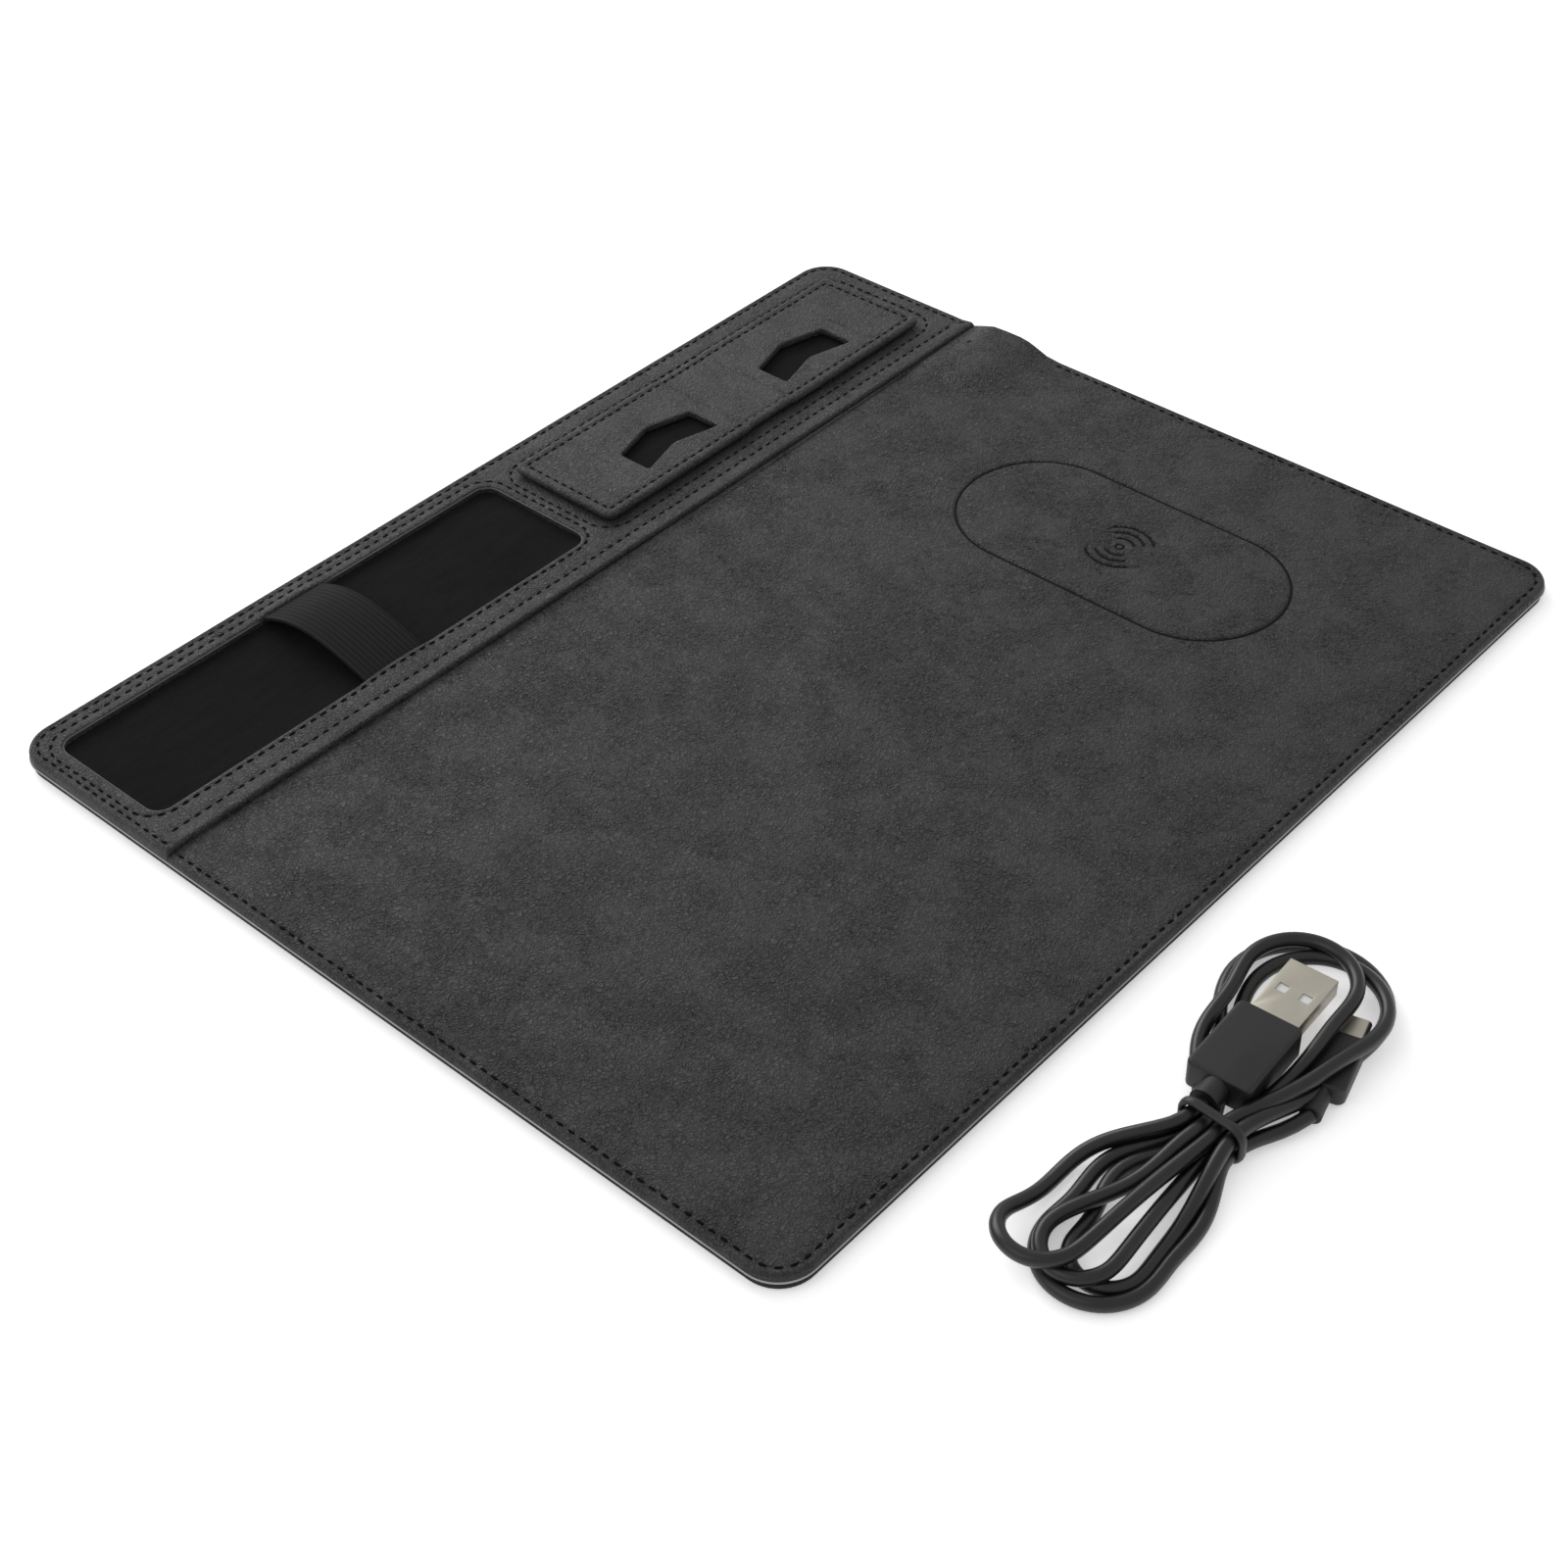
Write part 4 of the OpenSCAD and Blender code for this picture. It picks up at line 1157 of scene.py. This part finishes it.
def flap_piece(name, near, far, wing, crease):
    """One length of a wing's skin, from near to far of the flap's middle."""
    x0, x1 = (near, far) if wing > 0 else (-far, -near)
    has_slot = near < CREASE_RIDGE < far

    def slot(grow):
        return [(wing * CREASE_RIDGE + x, y) for x, y in chevron(grow)]

    def across(x, step):
        return divided([(x, -FLAP_HALF_Y), (x, FLAP_HALF_Y)], step, False)

    loops, lines = [], []
    if far >= FLAP_HALF:
        loops += rings(FLAP, FLAP_RADII, FLAP_RINGS, 2, 0.7)
    else:
        for inset in FLAP_RINGS:
            for y in (inset - FLAP_HALF_Y, FLAP_HALF_Y - inset):
                lines.append(divided([(x0, y), (x1, y)], 1.5, False))
    for i in range(13):
        lines.append(across(wing * (crease + BEND_HALF * (i / 6 - 1)), 1.5))
    lines += [across(x0, 2), across(x1, 2)]
    if has_slot:
        loops += [slot(grow) for grow in (0, 0.12, 0.35, 0.7, 1.2)]
    loose = grid(x0, x1, -FLAP_HALF_Y + 4, FLAP_HALF_Y - 4, 2.5)

    def keep(x, y):
        if not (x0 < x < x1 and flap_inside(x, y) > 0):
            return False
        return not (has_slot and in_polygon(x, y, slot(0)))

    verts, faces = skin(loops, lines, loose, keep, lambda x, y: flap_surface(x, y, 1),
                        lambda x, y: flap_surface(x, y, -1))
    placed = []
    for x, y, z in verts:
        if z < FLAP_MID_Z:
            z -= CENTRE_DROP * (1 - smooth((abs(x) - CREASE_IN + 2) / 2)) * smooth(flap_inside(x, y) / 2)
        placed.append((STAND_X + x, STAND_Y + y * narrowing(x), z))
    piece = new_piece(name, placed, faces, "strip_leather", auto=45)
    bend(piece)
    return piece


def bend(piece):
    """The piece's placement is baked into its mesh."""
    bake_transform(piece)


def flap_thread(name, near, far, wing):
    """The sewing near the flap's edges, along one length of a wing."""
    edge_y = FLAP_HALF_Y - FLAP_STITCH

    def surface(x, y):
        return flap_surface(x - STAND_X, y - STAND_Y, 1)

    rows = []
    if far >= FLAP_HALF:
        out = FLAP_HALF - FLAP_STITCH
        rows.append([(near, -edge_y), (out, -edge_y), (out, edge_y), (near, edge_y)])
    else:
        rows.append([(near, -edge_y), (far, -edge_y)])
        rows.append([(far, edge_y), (near, edge_y)])
    for number, row in enumerate(rows):
        path = [(STAND_X + wing * x, STAND_Y + y) for x, y in row]
        piece = stitches(f"{name}_{number + 1}", path, surface, None, closed=False, pitch=3.2)
        bend(piece)


def phone_stand():
    """Both wings, each as three lengths of skin that share the flap's middle section."""
    for wing, side in ((-1, "left"), (1, "right")):
        parts = [
            ("root", 0, SPLIT_IN, ("mat", f"{side}_inner"), CREASE_IN, ("inner_panel",)),
            ("ridge", SPLIT_IN, SPLIT_OUT, (f"{side}_inner", f"{side}_outer"), CREASE_RIDGE,
             ("outer_panel",)),
            ("tab", SPLIT_OUT, FLAP_HALF, (f"{side}_outer", f"{side}_tab"), CREASE_OUT, ("end_tab",)),
        ]
        for part, near, far, bodies, crease, covers in parts:
            piece = flap_piece(f"{side}_wing_{part}", near, far, wing, crease)
            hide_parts(*(f"{side}_{cover}" for cover in covers))
            if part == "root":
                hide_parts("stand_centre")
            flap_thread(f"{side}_{part}_thread", near, far, wing)


# ---- plugs, tie and small things
def soft_edged(name, node, finish, radius, steps):
    """A piece in a CAD node's place: the node's shape with its sharp edges rounded."""
    work = bmesh.new()
    work.from_mesh(nodes[node].data)
    bmesh.ops.remove_doubles(work, verts=work.verts, dist=0.001 * MM)
    bmesh.ops.dissolve_limit(work, angle_limit=math.radians(1), verts=work.verts, edges=work.edges)
    sharp = [edge for edge in work.edges
             if edge.is_manifold and edge.calc_face_angle() > math.radians(40)]
    bmesh.ops.bevel(work, geom=sharp, offset=radius * MM, segments=steps, profile=0.5,
                    affect="EDGES", clamp_overlap=True)
    work.verts.index_update()
    verts = [vert.co / MM for vert in work.verts]
    faces = [[vert.index for vert in face.verts] for face in work.faces]
    work.free()
    piece = new_piece(name, verts, faces, finish, "cable", auto=50)
    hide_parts(node)
    return piece


def plug_pieces():
    """The moulded plug bodies and the folded metal shell, with their edges softened."""
    return [soft_edged("large_plug_body", "usb_a_grip", "plug_grip", 0.9, 4),
            soft_edged("small_plug_body", "usb_c_grip", "plug_grip", 0.9, 4),
            soft_edged("large_plug_shell", "usb_a_shell", "connector_metal", 0.1, 2)]


def indicator_lens():
    """The small dark lens of the charging indicator, set into the mound."""
    x, y, _ = middle("light_pipe")
    radius = (light_high.x - light_low.x) / 2
    face = mouse_top(x, y)
    steps = [(radius, light_low.z), (radius, face), (radius * 0.9, face + 0.06),
             (radius * 0.5, face + 0.08), (0.05, face + 0.08)]
    sides = 24
    verts = [(x + r * math.cos(math.tau * i / sides), y + r * math.sin(math.tau * i / sides), z)
             for r, z in steps for i in range(sides)]
    piece = new_piece("indicator_lens", verts, lattice(len(steps), sides, 0, "capped"),
                      "light_pipe", "mat", auto=50)
    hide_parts("light_pipe")


TIE_THICK = 0.75
TIE_WIDE = 1.3
TIE_LEAN = 0.06


def tie_band():
    """The rubber ring round the hank: oval in section, squashed by the strands."""
    path = rounded(tie_low.y + TIE_THICK, tie_high.y - TIE_THICK, tie_low.z + TIE_THICK,
                   tie_high.z - TIE_THICK, (3.2,) * 4, 0, 0.6)
    path = divided(path, 1)
    sides = 12
    verts = []
    for i, (y, z, side) in enumerate(hoop(path, TIE_THICK, TIE_WIDE, sides)):
        lean = TIE_LEAN * (path[i // sides][0] - TIE_Y)
        verts.append((TIE_X + lean + side, y, z))
    piece = new_piece("tie_ring", verts, lattice(len(path), sides, 0, "joined"), "tie_band", "cable")
    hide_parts("cable_tie")
    return piece


PAD_HALF_Y = 5.3
PLUG_TURN = math.radians(3.3)


def plug_pad():
    """The pale plastic seen through the two windows of the large plug's shell."""
    centre = middle("usb_a_shell").to_2d()
    turned = Matrix.Rotation(PLUG_TURN, 2)
    outline = divided(rounded(-8.5, 8.3, -PAD_HALF_Y, PAD_HALF_Y, (0.8,) * 4), 1.5)
    top = span("usb_a_shell")[1].z - 0.42
    verts, faces = skin([outline], [], grid(-7, 7, -4, 4, 2), lambda x, y: abs(y) < PAD_HALF_Y,
                        lambda x, y: top, lambda x, y: top - 0.45)
    placed = [(*(centre + turned @ Vector((x, y))), z) for x, y, z in verts]
    return new_piece("usb_a_pad", placed, faces, "insert_plastic", "cable")


def declare_cable(on_it):
    """The curve is the real cable, with its plugs, pad and tie on it; on_it, the list of them, is not
    used.
    """
    cable.data.materials.append(FINISHES["cable_jacket"])
    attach(cable, "cable")
    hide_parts("cable_hank")


# ---- floor and lights
def add_area(name, place, target, size, power, colour=(1, 1, 1)):
    data = bpy.data.lights.new(name, "AREA")
    data.shape = "RECTANGLE"
    data.size, data.size_y = size
    data.energy = power
    data.color = colour
    light = bpy.data.objects.new(name, data)
    light.location = place
    aim = Vector(target) - Vector(place)
    light.rotation_euler = aim.to_track_quat("-Z", "Y").to_euler()
    bpy.context.scene.collection.objects.link(light)


def studio():
    """White surroundings, a pale floor, and a key and a fill light."""
    scene = bpy.context.scene
    scene.view_settings.view_transform = "Standard"
    world = bpy.data.worlds.new("studio")
    world.use_nodes = True
    world.node_tree.nodes["Background"].inputs[0].default_value = (1, 1, 1, 1)
    world.node_tree.nodes["Background"].inputs[1].default_value = 0.72
    scene.world = world
    mesh = bpy.data.meshes.new("floor")
    half = 9.0
    mesh.from_pydata([(-half, -half, 0), (half, -half, 0), (half, half, 0), (-half, half, 0)], [],
                     [(0, 1, 2, 3)])
    floor = bpy.data.objects.new("floor", mesh)
    floor.location.z = -0.0002
    paper = Finish("floor_paper", (0.92, 0.92, 0.92), 0.9, Emission_Color=(1, 1, 1, 1),
                   Emission_Strength=0.35)
    mesh.materials.append(paper.material)
    scene.collection.objects.link(floor)
    add_area("key", (0.3, 1.0, 0.65), (0, 0.05, 0), (1.0, 0.6), 8)
    add_area("fill", (-0.9, 0.2, 0.9), (0, 0, 0), (0.8, 0.8), 2)


finish_cad_nodes()
underside()
mouse_cover()
port_panel()
strip_cover()
tray_bed()
beads()
pen_loop()
thread_rows()
phone_stand()
indicator_lens()
declare_cable([tie_band(), plug_pad()] + plug_pieces())
studio()
